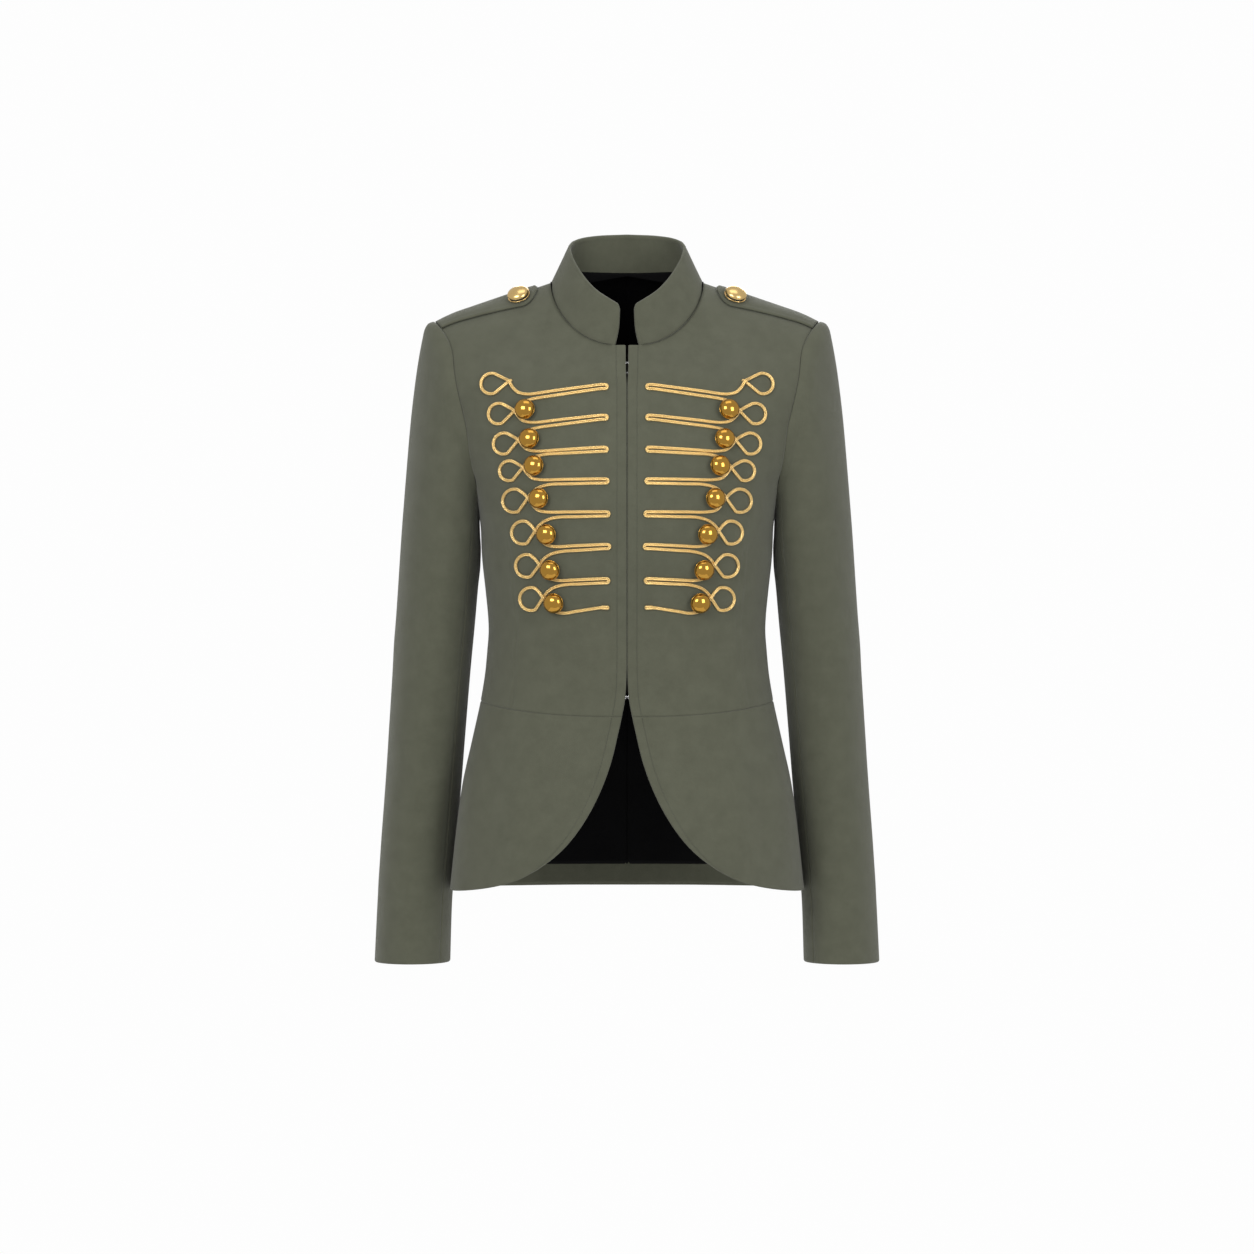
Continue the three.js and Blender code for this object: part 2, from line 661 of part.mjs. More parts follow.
// The strands of the frogging as points on the front, in order from the first loop.
function loopPoints(frog) {
  const radius = (frog.loopTop - frog.loopBottom - cordWidth) / 2;
  const x = frog.loopX - cordWidth / 2 - radius;
  const z = (frog.loopTop + frog.loopBottom) / 2;
  const at = (degrees) => {
    const turn = degToRad(degrees);
    return [x + radius * Math.cos(turn), z + radius * Math.sin(turn)];
  };
  const back = loopTurns.map((turn) => -turn).reverse();
  return { into: back.map(at), out: loopTurns.map(at) };
}

function exitPoints(frog) {
  return strandExit.map(({ towardsEdge, dipShare }) => [
    frog.crossX - towardsEdge,
    frog.crossZ - dipShare * frog.dip,
  ]);
}

function entryPoints(frog) {
  return strandEntry.map(({ towardsEdge, rise }) => [frog.crossX - towardsEdge, frog.crossZ + rise]);
}

// Points between two ends of a straight strand, both ends left out.
function between(from, to, count) {
  return steps(0, 1, count).slice(1, -1).map((s) => [lerp(from[0], to[0], s), lerp(from[1], to[1], s)]);
}

function strandPoints(frog, next) {
  const exit = exitPoints(frog);
  const points = [...loopPoints(frog).out, ...exit];
  const upper = [frog.tipX + hairpinRadius + hairpinLead, frog.tipZ + hairpinRadius];
  points.push(...between(exit[exit.length - 1], upper, strandSteps), upper);
  if (!next) {
    return points;
  }
  hairpinTurns.forEach((degrees) => {
    const turn = degToRad(degrees);
    points.push([
      frog.tipX + hairpinRadius * (1 - Math.cos(turn)),
      frog.tipZ + hairpinRadius * Math.sin(turn),
    ]);
  });
  const lower = [upper[0], frog.tipZ - hairpinRadius];
  const entry = entryPoints(next);
  points.push(lower, ...between(lower, entry[0], strandSteps), ...entry, ...loopPoints(next).into);
  return points;
}

// A flat-based cord along points of the front, with its top narrower than its base.
function cordGeometry(route, sign, width = cordWidth) {
  const points = route.map(([x, z]) => frontPoint(x, z));
  const rings = points.map((point, n) => {
    const ahead = points[Math.min(n + 1, points.length - 1)];
    const behind = points[Math.max(n - 1, 0)];
    const normal = frontNormal(point.x, point.z);
    const way = ahead.clone().sub(behind).normalize();
    const side = way.cross(normal).normalize();
    const corner = (across, lift) => {
      const at = point.clone().addScaledVector(side, across / 2).addScaledVector(normal, lift);
      at.x *= sign;
      return at;
    };
    const topWidth = (width * cordTopWidth) / cordWidth;
    const top = layerGap + cordHeight;
    return [
      corner(-width, layerGap),
      corner(width, layerGap),
      corner(topWidth, top),
      corner(-topWidth, top),
    ];
  });
  const sidesOfCord = 4;
  const faces = [0, 2, 1, 0, 3, 2];
  for (let n = 0; n < rings.length - 1; n += 1) {
    for (let k = 0; k < sidesOfCord; k += 1) {
      const a = n * sidesOfCord + k;
      const b = n * sidesOfCord + ((k + 1) % sidesOfCord);
      faces.push(a, b, b + sidesOfCord, a, b + sidesOfCord, a + sidesOfCord);
    }
  }
  const end = (rings.length - 1) * sidesOfCord;
  faces.push(end, end + 1, end + 2, end, end + 2, end + 3);
  return closedGeometry(rings.flat(), faces);
}

const joinTolerance = 0.02;

// Joins geometries into one closed body.
function joined(geometries) {
  const solids = geometries.map((geometry) => {
    const bare = mergeVertices(geometry);
    return new wasm.Manifold(new wasm.Mesh({
      numProp: 3,
      vertProperties: new Float32Array(bare.attributes.position.array),
      triVerts: new Uint32Array(bare.index.array),
    }));
  });
  const whole = solids.reduce((sum, solid) => sum.add(solid)).simplify(joinTolerance).getMesh();
  const geometry = new THREE.BufferGeometry();
  geometry.setAttribute('position', new THREE.BufferAttribute(whole.vertProperties, 3));
  geometry.setIndex(new THREE.BufferAttribute(whole.triVerts, 1));
  return geometry;
}

function froggingGeometry(sign) {
  const first = frogs[0];
  const last = frogs[frogs.length - 1];
  const start = [first.crossX + loopTail.out, first.crossZ + loopTail.up];
  const cords = [cordGeometry([start, [first.crossX, first.crossZ], ...loopPoints(first).into], sign)];
  frogs.forEach((frog, n) => cords.push(cordGeometry(strandPoints(frog, frogs[n + 1]), sign)));
  const endX = last.tipX + hairpinRadius + hairpinLead;
  const endZ = last.tipZ + hairpinRadius;
  const stub = between([endX + cordEnd.length / 2, endZ], [endX - cordEnd.length / 2, endZ], endSteps);
  cords.push(cordGeometry(stub, sign, cordEnd.width));
  return joined(cords);
}

// A domed button with a shank, standing along +Y from the cloth.
function buttonGeometry({ width, shank, seat, rim, height }) {
  const radius = width / 2;
  const foot = Math.min(layerGap, seat);
  const profile = [
    [0, foot],
    [shank, foot],
    [shank, seat + dome.plate],
    [radius * dome.underRim, seat + dome.plate],
    [radius, seat + rim],
    [radius * dome.across, seat + height * dome.up],
    [0, seat + height],
  ];
  const points = profile.map(([r, y]) => new THREE.Vector2(r, y));
  const geometry = new THREE.LatheGeometry(points, buttonFacets);
  geometry.deleteAttribute('normal');
  geometry.deleteAttribute('uv');
  return mergeVertices(geometry);
}

function placeOn(mesh, point, normal, sign) {
  mesh.position.set(point.x * sign, point.y, point.z);
  const up = new THREE.Vector3(normal.x * sign, normal.y, normal.z);
  mesh.quaternion.setFromUnitVectors(new THREE.Vector3(0, 1, 0), up);
}

// A flat wire loop in its own XY plane, centred, with its wire's thickness along Z.
function wireLoopGeometry({ length, height, wire }) {
  const trace = (path, half, radius) => {
    path.absarc(half, 0, radius, -Math.PI / 2, Math.PI / 2, false);
    path.absarc(-half, 0, radius, Math.PI / 2, (3 * Math.PI) / 2, false);
    path.closePath();
    return path;
  };
  const half = (length - height) / 2;
  const shape = trace(new THREE.Shape(), half, height / 2);
  shape.holes.push(trace(new THREE.Path(), half, height / 2 - wire));
  const geometry = new THREE.ExtrudeGeometry(shape, { depth: wire, bevelEnabled: false, curveSegments: 3 });
  geometry.translate(0, 0, -wire / 2);
  geometry.deleteAttribute('normal');
  geometry.deleteAttribute('uv');
  return mergeVertices(geometry);
}

const jacket = new THREE.Group();
const sides = [
  { name: 'right', sign: -1 },
  { name: 'left', sign: 1 },
];
const mirrored = (pointAt, sign) => (column, row) => {
  const point = pointAt(column, row);
  point.x *= sign;
  return point;
};

for (const side of sides) {
  const place = (pointAt) => mirrored(pointAt, side.sign);
  const front = place((column, row) => bodicePoint(column, row, true));
  const back = place((column, row) => bodicePoint(column, row, false));
  const frontTrim = { last: seamTrim, top: seamTrim, bottom: seamTrim };
  const backTrim = { first: seamTrim, ...frontTrim };
  const rows = steps(0, bodyRows, bodyRows);
  const across = steps(0, frontColumns, frontColumns);
  const frontWall = wallGeometry(front, across, rows, bodyAxis, { trim: frontTrim });
  addPiece(jacket, `front_${side.name}`, frontWall, colours.cloth);
  const backAcross = steps(0, backColumns, backColumns);
  const backWall = wallGeometry(back, backAcross, rows, bodyAxis, { trim: backTrim });
  addPiece(jacket, `back_${side.name}`, backWall, colours.cloth);

  const skirt = place((column, row) => skirtPoint(column, row, true));
  const skirtWall = wallGeometry(
    skirt,
    across,
    steps(0, skirtRows, skirtRows),
    bodyAxis,
    { trim: { last: seamTrim, top: seamTrim } },
  );
  addPiece(jacket, `peplum_${side.name}`, skirtWall, colours.cloth);

  const sleeve = place(sleevePoint);
  const inSleeve = (point, ring) => {
    const axis = sleeveAxis(ring);
    axis.x *= side.sign;
    return axis;
  };
  const rings = steps(0, lastRing, lastRing);
  const sleeveTrim = { first: seamTrim, last: seamTrim };
  const topSteps = frontSeamStep - backSeamStep;
  const topWall = wallGeometry(
    sleeve,
    steps(backSeamStep, frontSeamStep, topSteps),
    rings,
    inSleeve,
    { trim: sleeveTrim },
  );
  addPiece(jacket, `sleeve_top_${side.name}`, topWall, colours.cloth);
  const underSleeve = (step, ring) => sleeve(step > armSteps ? step - 2 * armSteps : step, ring);
  const underWall = wallGeometry(
    underSleeve,
    steps(frontSeamStep, backSeamStep + 2 * armSteps, 2 * armSteps - topSteps),
    rings,
    inSleeve,
    { trim: sleeveTrim },
  );
  addPiece(jacket, `sleeve_under_${side.name}`, underWall, colours.cloth);

  const lining = place(liningPoint);
  const liningEnd = bodyRows + facingTop - liningClear;
  const liningRows = [
    ...steps(0, armSteps, liningSteps.arm),
    ...steps(armSteps, bodyRows, liningSteps.side).slice(1),
    ...steps(bodyRows, liningEnd, liningSteps.skirt).slice(1),
  ];
  const liningShape = wallGeometry(lining, liningColumns, liningRows, bodyAxis, {
    thickness: liningWall,
    lift: -clothWall - liningGap,
    trim: { first: seamTrim, last: liningTrim, top: liningTrim },
  });
  addPiece(jacket, `lining_${side.name}`, liningShape, colours.lining, { roughness: 0.55 });

  const strapAt = place(strapPoint);
  const strapShape = wallGeometry(
    strapAt,
    strapColumns,
    steps(-1, 1, strapRows),
    (point) => new THREE.Vector3(point.x, point.y, point.z - insideDrop),
    { thickness: strapWall, lift: strapWall + layerGap },
  );
  addPiece(jacket, `strap_${side.name}`, strapShape, colours.cloth);
  const strapAlong = (shoulderX - strapButtonX) / (shoulderX - strap.endX);
  const strapSeat = strapPoint(strapAlong, strapButtonAcross);
  const strapFacing = frontNormal(strapSeat.x, strapSeat.z);
  strapSeat.addScaledVector(strapFacing, strapWall + layerGap);
  const strapButton = addPiece(
    jacket,
    `strap_button_${side.name}`,
    buttonGeometry(strapButtonProfile),
    colours.paleBrass,
    { roughness: 0.35, metalness: 1 },
  );
  placeOn(strapButton, strapSeat, strapFacing, side.sign);

  addPiece(jacket, `frogging_${side.name}`, froggingGeometry(side.sign), colours.cord, { roughness: 0.5 });
  for (const spot of frontButtons) {
    const button = addPiece(
      jacket,
      `button_${side.name}_${spot.row}`,
      buttonGeometry(buttonProfile),
      colours.brass,
      { roughness: 0.12, metalness: 1 },
    );
    placeOn(button, frontPoint(spot.x, spot.z), frontNormal(spot.x, spot.z), side.sign);
  }

  hookHeights.forEach((z, n) => {
    const name = side.sign < 0 ? 'hook' : 'eye';
    const loop = addPiece(jacket, `${name}_${n + 1}`, wireLoopGeometry(hookLoop), colours.steel, {
      roughness: 0.3,
      metalness: 1,
    });
    const normal = frontNormal(nearEdgeX, z);
    normal.x = 0;
    normal.normalize();
    const seat = frontPoint(0, z).addScaledVector(normal, -clothWall - hookLoop.gap - hookLoop.wire / 2);
    loop.position.set(side.sign * (hookLoop.length / 2 + hookLoop.gap / 2), seat.y, seat.z);
    loop.rotation.x = Math.atan2(-normal.y, normal.z);
  });
}

// The back of the skirt runs from side seam to side seam.
const backSkirt = (column, row) => {
  const point = skirtPoint(Math.abs(column), row, false);
  point.x *= Math.sign(column);
  return point;
};
const backSkirtWall = wallGeometry(
  backSkirt,
  steps(-backColumns, backColumns, 2 * backColumns),
  steps(0, skirtRows, skirtRows),
  bodyAxis,
  { trim: { first: seamTrim, last: seamTrim, top: seamTrim } },
);
addPiece(jacket, 'peplum_back', backSkirtWall, colours.cloth);

// The facing turned up inside the hem of the back skirt.
const facingShape = wallGeometry(
  backSkirt,
  steps(-backColumns, backColumns, 2 * backColumns),
  [facingTop, skirtRows],
  bodyAxis,
  {
    thickness: liningWall,
    lift: -clothWall - layerGap,
    trim: { first: liningTrim, last: liningTrim, bottom: liningTrim },
  },
);
addPiece(jacket, 'hem_facing', facingShape, colours.cloth);

// The collar runs from one front edge round the back to the other.
const collarAround = (place, row) => {
  const point = collarPoint(collarPlaces - Math.abs(place), row);
  point.x *= place < 0 ? -1 : 1;
  return point;
};
const collarWallSolid = wallGeometry(
  collarAround,
  steps(-collarPlaces, collarPlaces, 2 * collarPlaces),
  steps(0, collarRows, collarRows),
  (point) => new THREE.Vector3(0, collarMiddleY, point.z),
  { thickness: collarWall, trim: { top: collarSeat } },
);
addPiece(jacket, 'collar', collarWallSolid, colours.cloth);

export default jacket;
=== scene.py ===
import math

import bmesh
import bpy
import numpy as np
from mathutils import Matrix, Vector


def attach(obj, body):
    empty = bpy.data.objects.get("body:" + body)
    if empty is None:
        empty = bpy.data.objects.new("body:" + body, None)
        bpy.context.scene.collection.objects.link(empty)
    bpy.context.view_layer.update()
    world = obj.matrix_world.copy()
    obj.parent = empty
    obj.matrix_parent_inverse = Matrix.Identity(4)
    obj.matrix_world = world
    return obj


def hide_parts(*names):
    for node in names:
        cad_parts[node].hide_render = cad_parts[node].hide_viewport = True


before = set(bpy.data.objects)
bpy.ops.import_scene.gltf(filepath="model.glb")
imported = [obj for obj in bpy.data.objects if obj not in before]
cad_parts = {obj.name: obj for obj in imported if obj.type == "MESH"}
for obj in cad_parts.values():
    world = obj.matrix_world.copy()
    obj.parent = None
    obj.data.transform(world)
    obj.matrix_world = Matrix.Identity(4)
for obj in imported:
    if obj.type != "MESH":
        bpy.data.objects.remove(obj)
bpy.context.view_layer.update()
scene = bpy.context.scene
bpy.ops.object.select_all(action="DESELECT")
metre = 0.001

# body sections from the neck to the hem: height, front and back half width, front and back depth, in mm
sectionPower = 2.3
bodySections = [
    (24, 268, 222, 62, 84),
    (-40, 245, 218, 67, 91),
    (-68, 224, 213, 72.5, 95),
    (-103, 199, 205, 87, 100),
    (-141, 179.5, 195, 99.5, 104),
    (-178, 166, 180, 111, 104),
    (-207, 154.5, 162, 117, 103),
    (-233, 147.5, 147.5, 119, 101),
    (-279, 144.6, 144.6, 115, 94),
    (-309, 141.3, 141.3, 108, 88),
    (-346, 138.4, 138.4, 101, 84),
    (-384, 140.9, 140.9, 97, 85.5),
    (-420, 146.3, 146.3, 97, 90),
    (-460, 154.4, 154.4, 102, 98),
    (-504, 163.9, 163.9, 109, 108),
    (-550, 170.3, 170.3, 116, 117),
    (-612, 177.3, 177.3, 123, 126),
]
shoulder = {
    "neckX": 76, "armX": 191, "slope": 0.337, "neckZ": -1.6, "dropFrom": 165, "drop": 3, "neckY": 2, "armY": 8,
}
frontRound = {"height": 110, "neckPower": 1.55, "armPower": 1.85}
backRound = {"height": 70, "power": 2.2, "neckRise": 26, "neckRisePower": 1.3}
neckline = {"frontZ": -68.8, "topX": 12.7, "frontPower": 1.85, "backDepth": 50}
armhole = {
    "topZ": -43, "bottomZ": -233, "topY": 8, "bottomY": 0, "front": 56, "back": 58, "nearX": 60, "farX": 260,
}
armSteps = 9
# the front edge (height, half width) and the hem of the front skirt (half width, height)
frontEdge = [
    (-68.8, 1.9), (-96, 1.5), (-112, 0.8), (-380, 0.7), (-404, 1.4), (-417, 2.5), (-434, 5.6), (-451, 9.4),
    (-474.5, 15), (-496, 22.2), (-517, 31.5), (-538, 43.5), (-556.5, 57.3), (-570.5, 71.5), (-582.6, 88.1),
]
frontHem = [(88.1, -582.6), (107, -592.4), (124, -598), (141, -601.8), (160, -605), (178, -607.4)]
hem = {"sideZ": -607.4, "backDrop": 3.6}
waist = {"sideZ": -419.6, "frontDip": 14, "backDip": 4, "power": 1.6}
# place, x, y and z of the collar's top edge, from its front corner to the middle of the back
collarTop = [
    (0, 7, -61.5, -29), (1, 17.5, -58.5, -22.6), (2, 30, -52, -14), (3, 41.5, -41, -1.5), (4, 50.5, -27, 12.5),
    (5, 56.5, -11.5, 25.5), (6, 58.6, 3.5, 34.5), (7, 56, 17, 40.6), (8, 46.5, 31, 45.4), (9, 26, 42.5, 48.9),
    (10, 0, 46, 50.2),
]
# ring, outer x and z, inner x and z, middle y and half depth of a sleeve
sleeveRings = [
    (0, 191.8, -43, 147.9, -233.3, 4, 57), (1, 195.2, -40.2, 148.3, -236, 4.5, 57.5),
    (2, 199.8, -41.7, 148.1, -239.5, 5, 58), (3, 203.8, -47.8, 147.9, -243.5, 5.5, 58.5),
    (4, 206, -58.5, 147.6, -248, 6, 59), (5, 210, -83, 147.2, -256, 7, 59),
    (6, 215.2, -127, 146.5, -268, 8.5, 58.5), (7, 220, -179, 147, -284, 11, 57.5),
    (8, 225.3, -240, 149.4, -306, 14, 56), (9, 230, -308, 152.5, -340, 18, 54),
    (10, 235, -380, 157.4, -390, 23, 51.5), (11, 239, -440, 162, -444, 27, 49.5),
    (12, 243.4, -505, 167, -506, 30, 47.5), (13, 248.3, -570, 172.4, -570, 32, 45.5),
    (14, 251.8, -630, 176.6, -630, 32, 44), (15, 254.2, -682, 178, -682, 30, 43),
]
lastRing = 15
blendRings = 9
frontSeamStep = 7
backSeamStep = -6
edgeColumns = 1
neckColumns = 6
backNeckColumns = 4
shoulderColumns = 5
frontColumns = edgeColumns + neckColumns + shoulderColumns
backColumns = backNeckColumns + shoulderColumns
sideRows = 7
bodyRows = armSteps + sideRows
skirtRows = 7
collarPlaces = neckColumns + backNeckColumns


def lerp(a, b, t):
    return a + (b - a) * t


def falloff(distance, width):
    return np.exp(-((distance / width) ** 2))


def spread(a, b):
    return np.broadcast_arrays(np.asarray(a, float), np.asarray(b, float))


def readTable(rows, at, column):
    # smooth value between the rows of a table, by its first column
    keys = np.array([row[0] for row in rows], float)
    values = np.array([row[column] for row in rows], float)
    if keys[-1] < keys[0]:
        keys = keys[::-1]
        values = values[::-1]
    secant = np.diff(values) / np.diff(keys)
    slope = np.empty(len(keys))
    slope[0] = secant[0]
    slope[-1] = secant[-1]
    product = secant[:-1] * secant[1:]
    total = np.where(product > 0, secant[:-1] + secant[1:], 1)
    slope[1:-1] = np.where(product > 0, 2 * product / total, 0)
    at = np.asarray(at, float)
    row = np.clip(np.searchsorted(keys, at, side="right") - 1, 0, len(keys) - 2)
    span = keys[row + 1] - keys[row]
    s = np.clip((at - keys[row]) / span, 0, 1)
    ease = s * s * (3 - 2 * s)
    turn = s * (1 - s) * span
    return lerp(values[row], values[row + 1], ease) + turn * ((1 - s) * slope[row] - s * slope[row + 1])


def solve(rising, goal, low, high):
    # value between low and high where a rising function reaches its goal
    goal = np.asarray(goal, float)
    below = np.zeros_like(goal) + low
    above = np.zeros_like(goal) + high
    for _ in range(40):
        middle = (below + above) / 2
        under = rising(middle) < goal
        below = np.where(under, middle, below)
        above = np.where(under, above, middle)
    return (below + above) / 2


def roundOff(t, power):
    return (1 - (1 - t) ** power) ** (1 / power)


def ridgeZ(x):
    past = np.maximum(x - shoulder["dropFrom"], 0) / (shoulder["armX"] - shoulder["dropFrom"])
    return shoulder["neckZ"] - shoulder["slope"] * (x - shoulder["neckX"]) - shoulder["drop"] * past**2


def backRidgeZ(x):
    near = np.minimum(x, shoulder["neckX"]) / shoulder["neckX"]
    rise = backRound["neckRise"] * (1 - near ** backRound["neckRisePower"])
    return ridgeZ(np.maximum(x, shoulder["neckX"])) + rise


def ridgeY(x):
    along = (x - shoulder["neckX"]) / (shoulder["armX"] - shoulder["neckX"])
    return lerp(shoulder["neckY"], shoulder["armY"], along)


def sectionEdge(x, reach):
    return (1 - np.minimum(x / reach, 1) ** sectionPower) ** (1 / sectionPower)


def frontY(x, z):
    below = np.clip((ridgeZ(x) - z) / frontRound["height"], 0, 1)
    along = np.clip((x - shoulder["neckX"]) / (shoulder["armX"] - shoulder["neckX"]), 0, 1)
    f = roundOff(below, lerp(frontRound["neckPower"], frontRound["armPower"], along))
    depth = readTable(bodySections, z, 3) * sectionEdge(x, readTable(bodySections, z, 1))
    return ridgeY(x) * (1 - f) - depth * f


def backY(x, z):
    f = roundOff(np.clip((backRidgeZ(x) - z) / backRound["height"], 0, 1), backRound["power"])
    depth = readTable(bodySections, z, 4) * sectionEdge(x, readTable(bodySections, z, 2))
    return ridgeY(x) * (1 - f) + depth * f


def bodyY(x, z, isFront):
    return frontY(x, z) if isFront else backY(x, z)


def armholePoints(step, isFront):
    step = np.asarray(step, float)
    angle = math.pi * step / armSteps
    fall = (1 - np.cos(angle)) / 2
    z = lerp(armhole["topZ"], armhole["bottomZ"], fall)
    y = lerp(armhole["topY"], armhole["bottomY"], fall)
    y = y + np.sin(angle) * (-armhole["front"] if isFront else armhole["back"])
    widest = solve(lambda x: -ridgeZ(x), -z, shoulder["neckX"], armhole["farX"])
    far = np.minimum(widest, readTable(bodySections, z, 1 if isFront else 2))
    if isFront:
        x = solve(lambda at: frontY(at, z), y, armhole["nearX"], far)
    else:
        x = solve(lambda at: -backY(at, z), -y, armhole["nearX"], far)
    top = fall < 1e-6
    x = np.where(top, shoulder["armX"], x)
    y = np.where(top, ridgeY(shoulder["armX"]), bodyY(x, z, isFront))
    return np.stack([x, y, z], -1)


def frontEdgeX(z):
    return readTable(frontEdge, z, 1)


def topPoints(column, isFront):
    # x and z of the neckline and the shoulder at a column
    column = np.asarray(column, float)
    if isFront:
        edge = edgeColumns
        neckEnd = edgeColumns + neckColumns
        angle = np.clip((column - edge) / neckColumns, 0, 1) * math.pi / 2
        power = 2 / neckline["frontPower"]
        neckX = lerp(neckline["topX"], shoulder["neckX"], np.sin(angle) ** power)
        neckZ = lerp(shoulder["neckZ"], neckline["frontZ"], np.clip(np.cos(angle), 0, 1) ** power)
        edgeX = lerp(frontEdge[0][1], neckline["topX"], column / edge)
        x = np.where(column <= edge, edgeX, neckX)
        z = np.where(column <= edge, neckline["frontZ"], neckZ)
    else:
        neckEnd = backNeckColumns
        angle = np.clip(column / backNeckColumns, 0, 1) * math.pi / 2
        x = shoulder["neckX"] * np.sin(angle)
        y = shoulder["neckY"] + neckline["backDepth"] * np.cos(angle)
        ridge = backRidgeZ(x)
        fall = solve(lambda at: backY(x, ridge - at), y, 0, backRound["height"])
        z = ridge - np.where(column >= backNeckColumns - 1e-6, 0, fall)
    lineX = lerp(shoulder["neckX"], shoulder["armX"], (column - neckEnd) / shoulderColumns)
    onShoulder = column > neckEnd
    return np.where(onShoulder, lineX, x), np.where(onShoulder, ridgeZ(lineX), z)


def roundX(reach, edgeX, part):
    start = np.arcsin((edgeX / reach) ** (sectionPower / 2))
    return reach * np.clip(np.sin(lerp(start, math.pi / 2, part)), 0, 1) ** (2 / sectionPower)


def waistZ(part, dip):
    return waist["sideZ"] - dip * np.clip(np.cos(part * math.pi / 2), 0, 1) ** waist["power"]


def bodicePoints(column, row, isFront):
    column, row = spread(column, row)
    part = column / (frontColumns if isFront else backColumns)
    side = 1 if isFront else 2
    edgeAt = frontEdgeX if isFront else lambda z: np.zeros_like(z)
    topX, topZ = topPoints(column, isFront)
    upper = np.minimum(row, armSteps)
    fall = (1 - np.cos(math.pi * upper / armSteps)) / 2
    z = lerp(topZ, armhole["bottomZ"], fall)
    low = np.full_like(z, armhole["bottomZ"])
    lowReach = readTable(bodySections, low, side)
    lowShare = (roundX(lowReach, edgeAt(low), part) - edgeAt(low)) / (lowReach - edgeAt(low))
    topEdge = frontEdge[0][1] if isFront else 0
    topShare = (topX - topEdge) / (shoulder["armX"] - topEdge)
    outerX = armholePoints(upper, isFront)[..., 0]
    x = lerp(edgeAt(z), outerX, lerp(topShare, lowShare, fall))
    down = np.clip((row - armSteps) / sideRows, 0, 1)
    dip = waist["frontDip"] if isFront else waist["backDip"]
    lowZ = lerp(armhole["bottomZ"], waistZ(part, dip), down)
    lowX = roundX(readTable(bodySections, lowZ, side), edgeAt(lowZ), part)
    x = np.where(row <= armSteps, x, lowX)
    z = np.where(row <= armSteps, z, lowZ)
    return np.stack([x, bodyY(x, z, isFront), z], -1)


def skirtPoints(column, row, isFront):
    column, row = spread(column, row)
    part = np.abs(column) / (frontColumns if isFront else backColumns)
    down = row / skirtRows
    top = waistZ(part, waist["frontDip"] if isFront else waist["backDip"])
    if isFront:
        edgeX, edgeZ = frontEdge[-1][1], frontEdge[-1][0]
        atZ = lerp(waistZ(0.0, waist["frontDip"]), edgeZ, down)
        lowX = roundX(readTable(bodySections, np.full_like(part, hem["sideZ"]), 1), edgeX, part)
        z = lerp(top, readTable(frontHem, lowX, 1), down)
        x = roundX(readTable(bodySections, z, 1), frontEdgeX(atZ), part)
    else:
        low = hem["sideZ"] - hem["backDrop"] * np.cos(part * math.pi / 2)
        z = lerp(top, low, down)
        x = roundX(readTable(bodySections, z, 2), 0.0, part)
    y = bodyY(x, z, isFront)
    return np.stack([x * np.where(column < 0, -1, 1), y, z], -1)


def sleevePoints(step, ring):
    step, ring = spread(step, ring)
    angle = math.pi * step / armSteps
    share = (1 + np.cos(angle)) / 2

    def ringPoint(at):
        outerX, outerZ, innerX, innerZ, y, depth = (readTable(sleeveRings, at, k) for k in range(1, 7))
        x = lerp(innerX, outerX, share)
        return np.stack([x, y - depth * np.sin(angle), lerp(innerZ, outerZ, share)], -1)

    wrapped = np.where(step > armSteps, 2 * armSteps - step, np.abs(step))
    isFront = (step >= 0) & (step <= armSteps)
    seam = np.where(isFront[..., None], armholePoints(wrapped, True), armholePoints(wrapped, False))
    s = np.clip(ring / blendRings, 0, 1)
    weight = 1 - s * s * (3 - 2 * s)
    shift = seam - ringPoint(np.zeros_like(ring))
    return ringPoint(ring) + shift * weight[..., None]


def sleeveMiddle(ring):
    outerX, outerZ, innerX, innerZ, y = (readTable(sleeveRings, ring, k) for k in range(1, 6))
    return np.stack([(outerX + innerX) / 2, y, (outerZ + innerZ) / 2], -1)


def collarPoints(place, up):
    # place runs from one front corner (-collarPlaces) round the back (0) to the other
    place, up = spread(place, up)
    at = collarPlaces - np.abs(place)
    onFront = at <= neckColumns
    frontSeam = bodicePoints(edgeColumns + np.minimum(at, neckColumns), 0.0, True)
    backSeam = bodicePoints(np.clip(collarPlaces - at, 0, backNeckColumns), 0.0, False)
    seam = np.where(onFront[..., None], frontSeam, backSeam)
    edge = np.stack([readTable(collarTop, at, k) for k in (1, 2, 3)], -1)
    corner = np.clip(1 - at / collar["cornerPlaces"], 0, 1) ** collar["cornerPower"] * collar["cornerDrop"]
    points = lerp(seam, edge, (up * (1 - corner))[..., None])
    points[..., 0] -= collar["bow"] * np.sin(math.pi * up) * np.maximum(1 - at, 0)
    points[..., 0] *= np.where(place < 0, -1, 1)
    return points


def shoulderPoints(x, y):
    ridge = ridgeZ(x)
    front = solve(lambda at: -frontY(x, ridge - at), -y, 0, frontRound["height"])
    back = solve(lambda at: backY(x, ridge - at), y, 0, backRound["height"])
    return np.stack([x, y, ridge - np.where(y < ridgeY(x), front, back)], -1)


def frontNormals(x, z):
    step = 0.2
    slopeX = (frontY(x + step, z) - frontY(x - step, z)) / (2 * step)
    slopeZ = (frontY(x, z + step) - frontY(x, z - step)) / (2 * step)
    normal = np.stack([slopeX, -np.ones_like(slopeX), slopeZ], -1)
    return normal / np.linalg.norm(normal, axis=-1, keepdims=True)


# materials


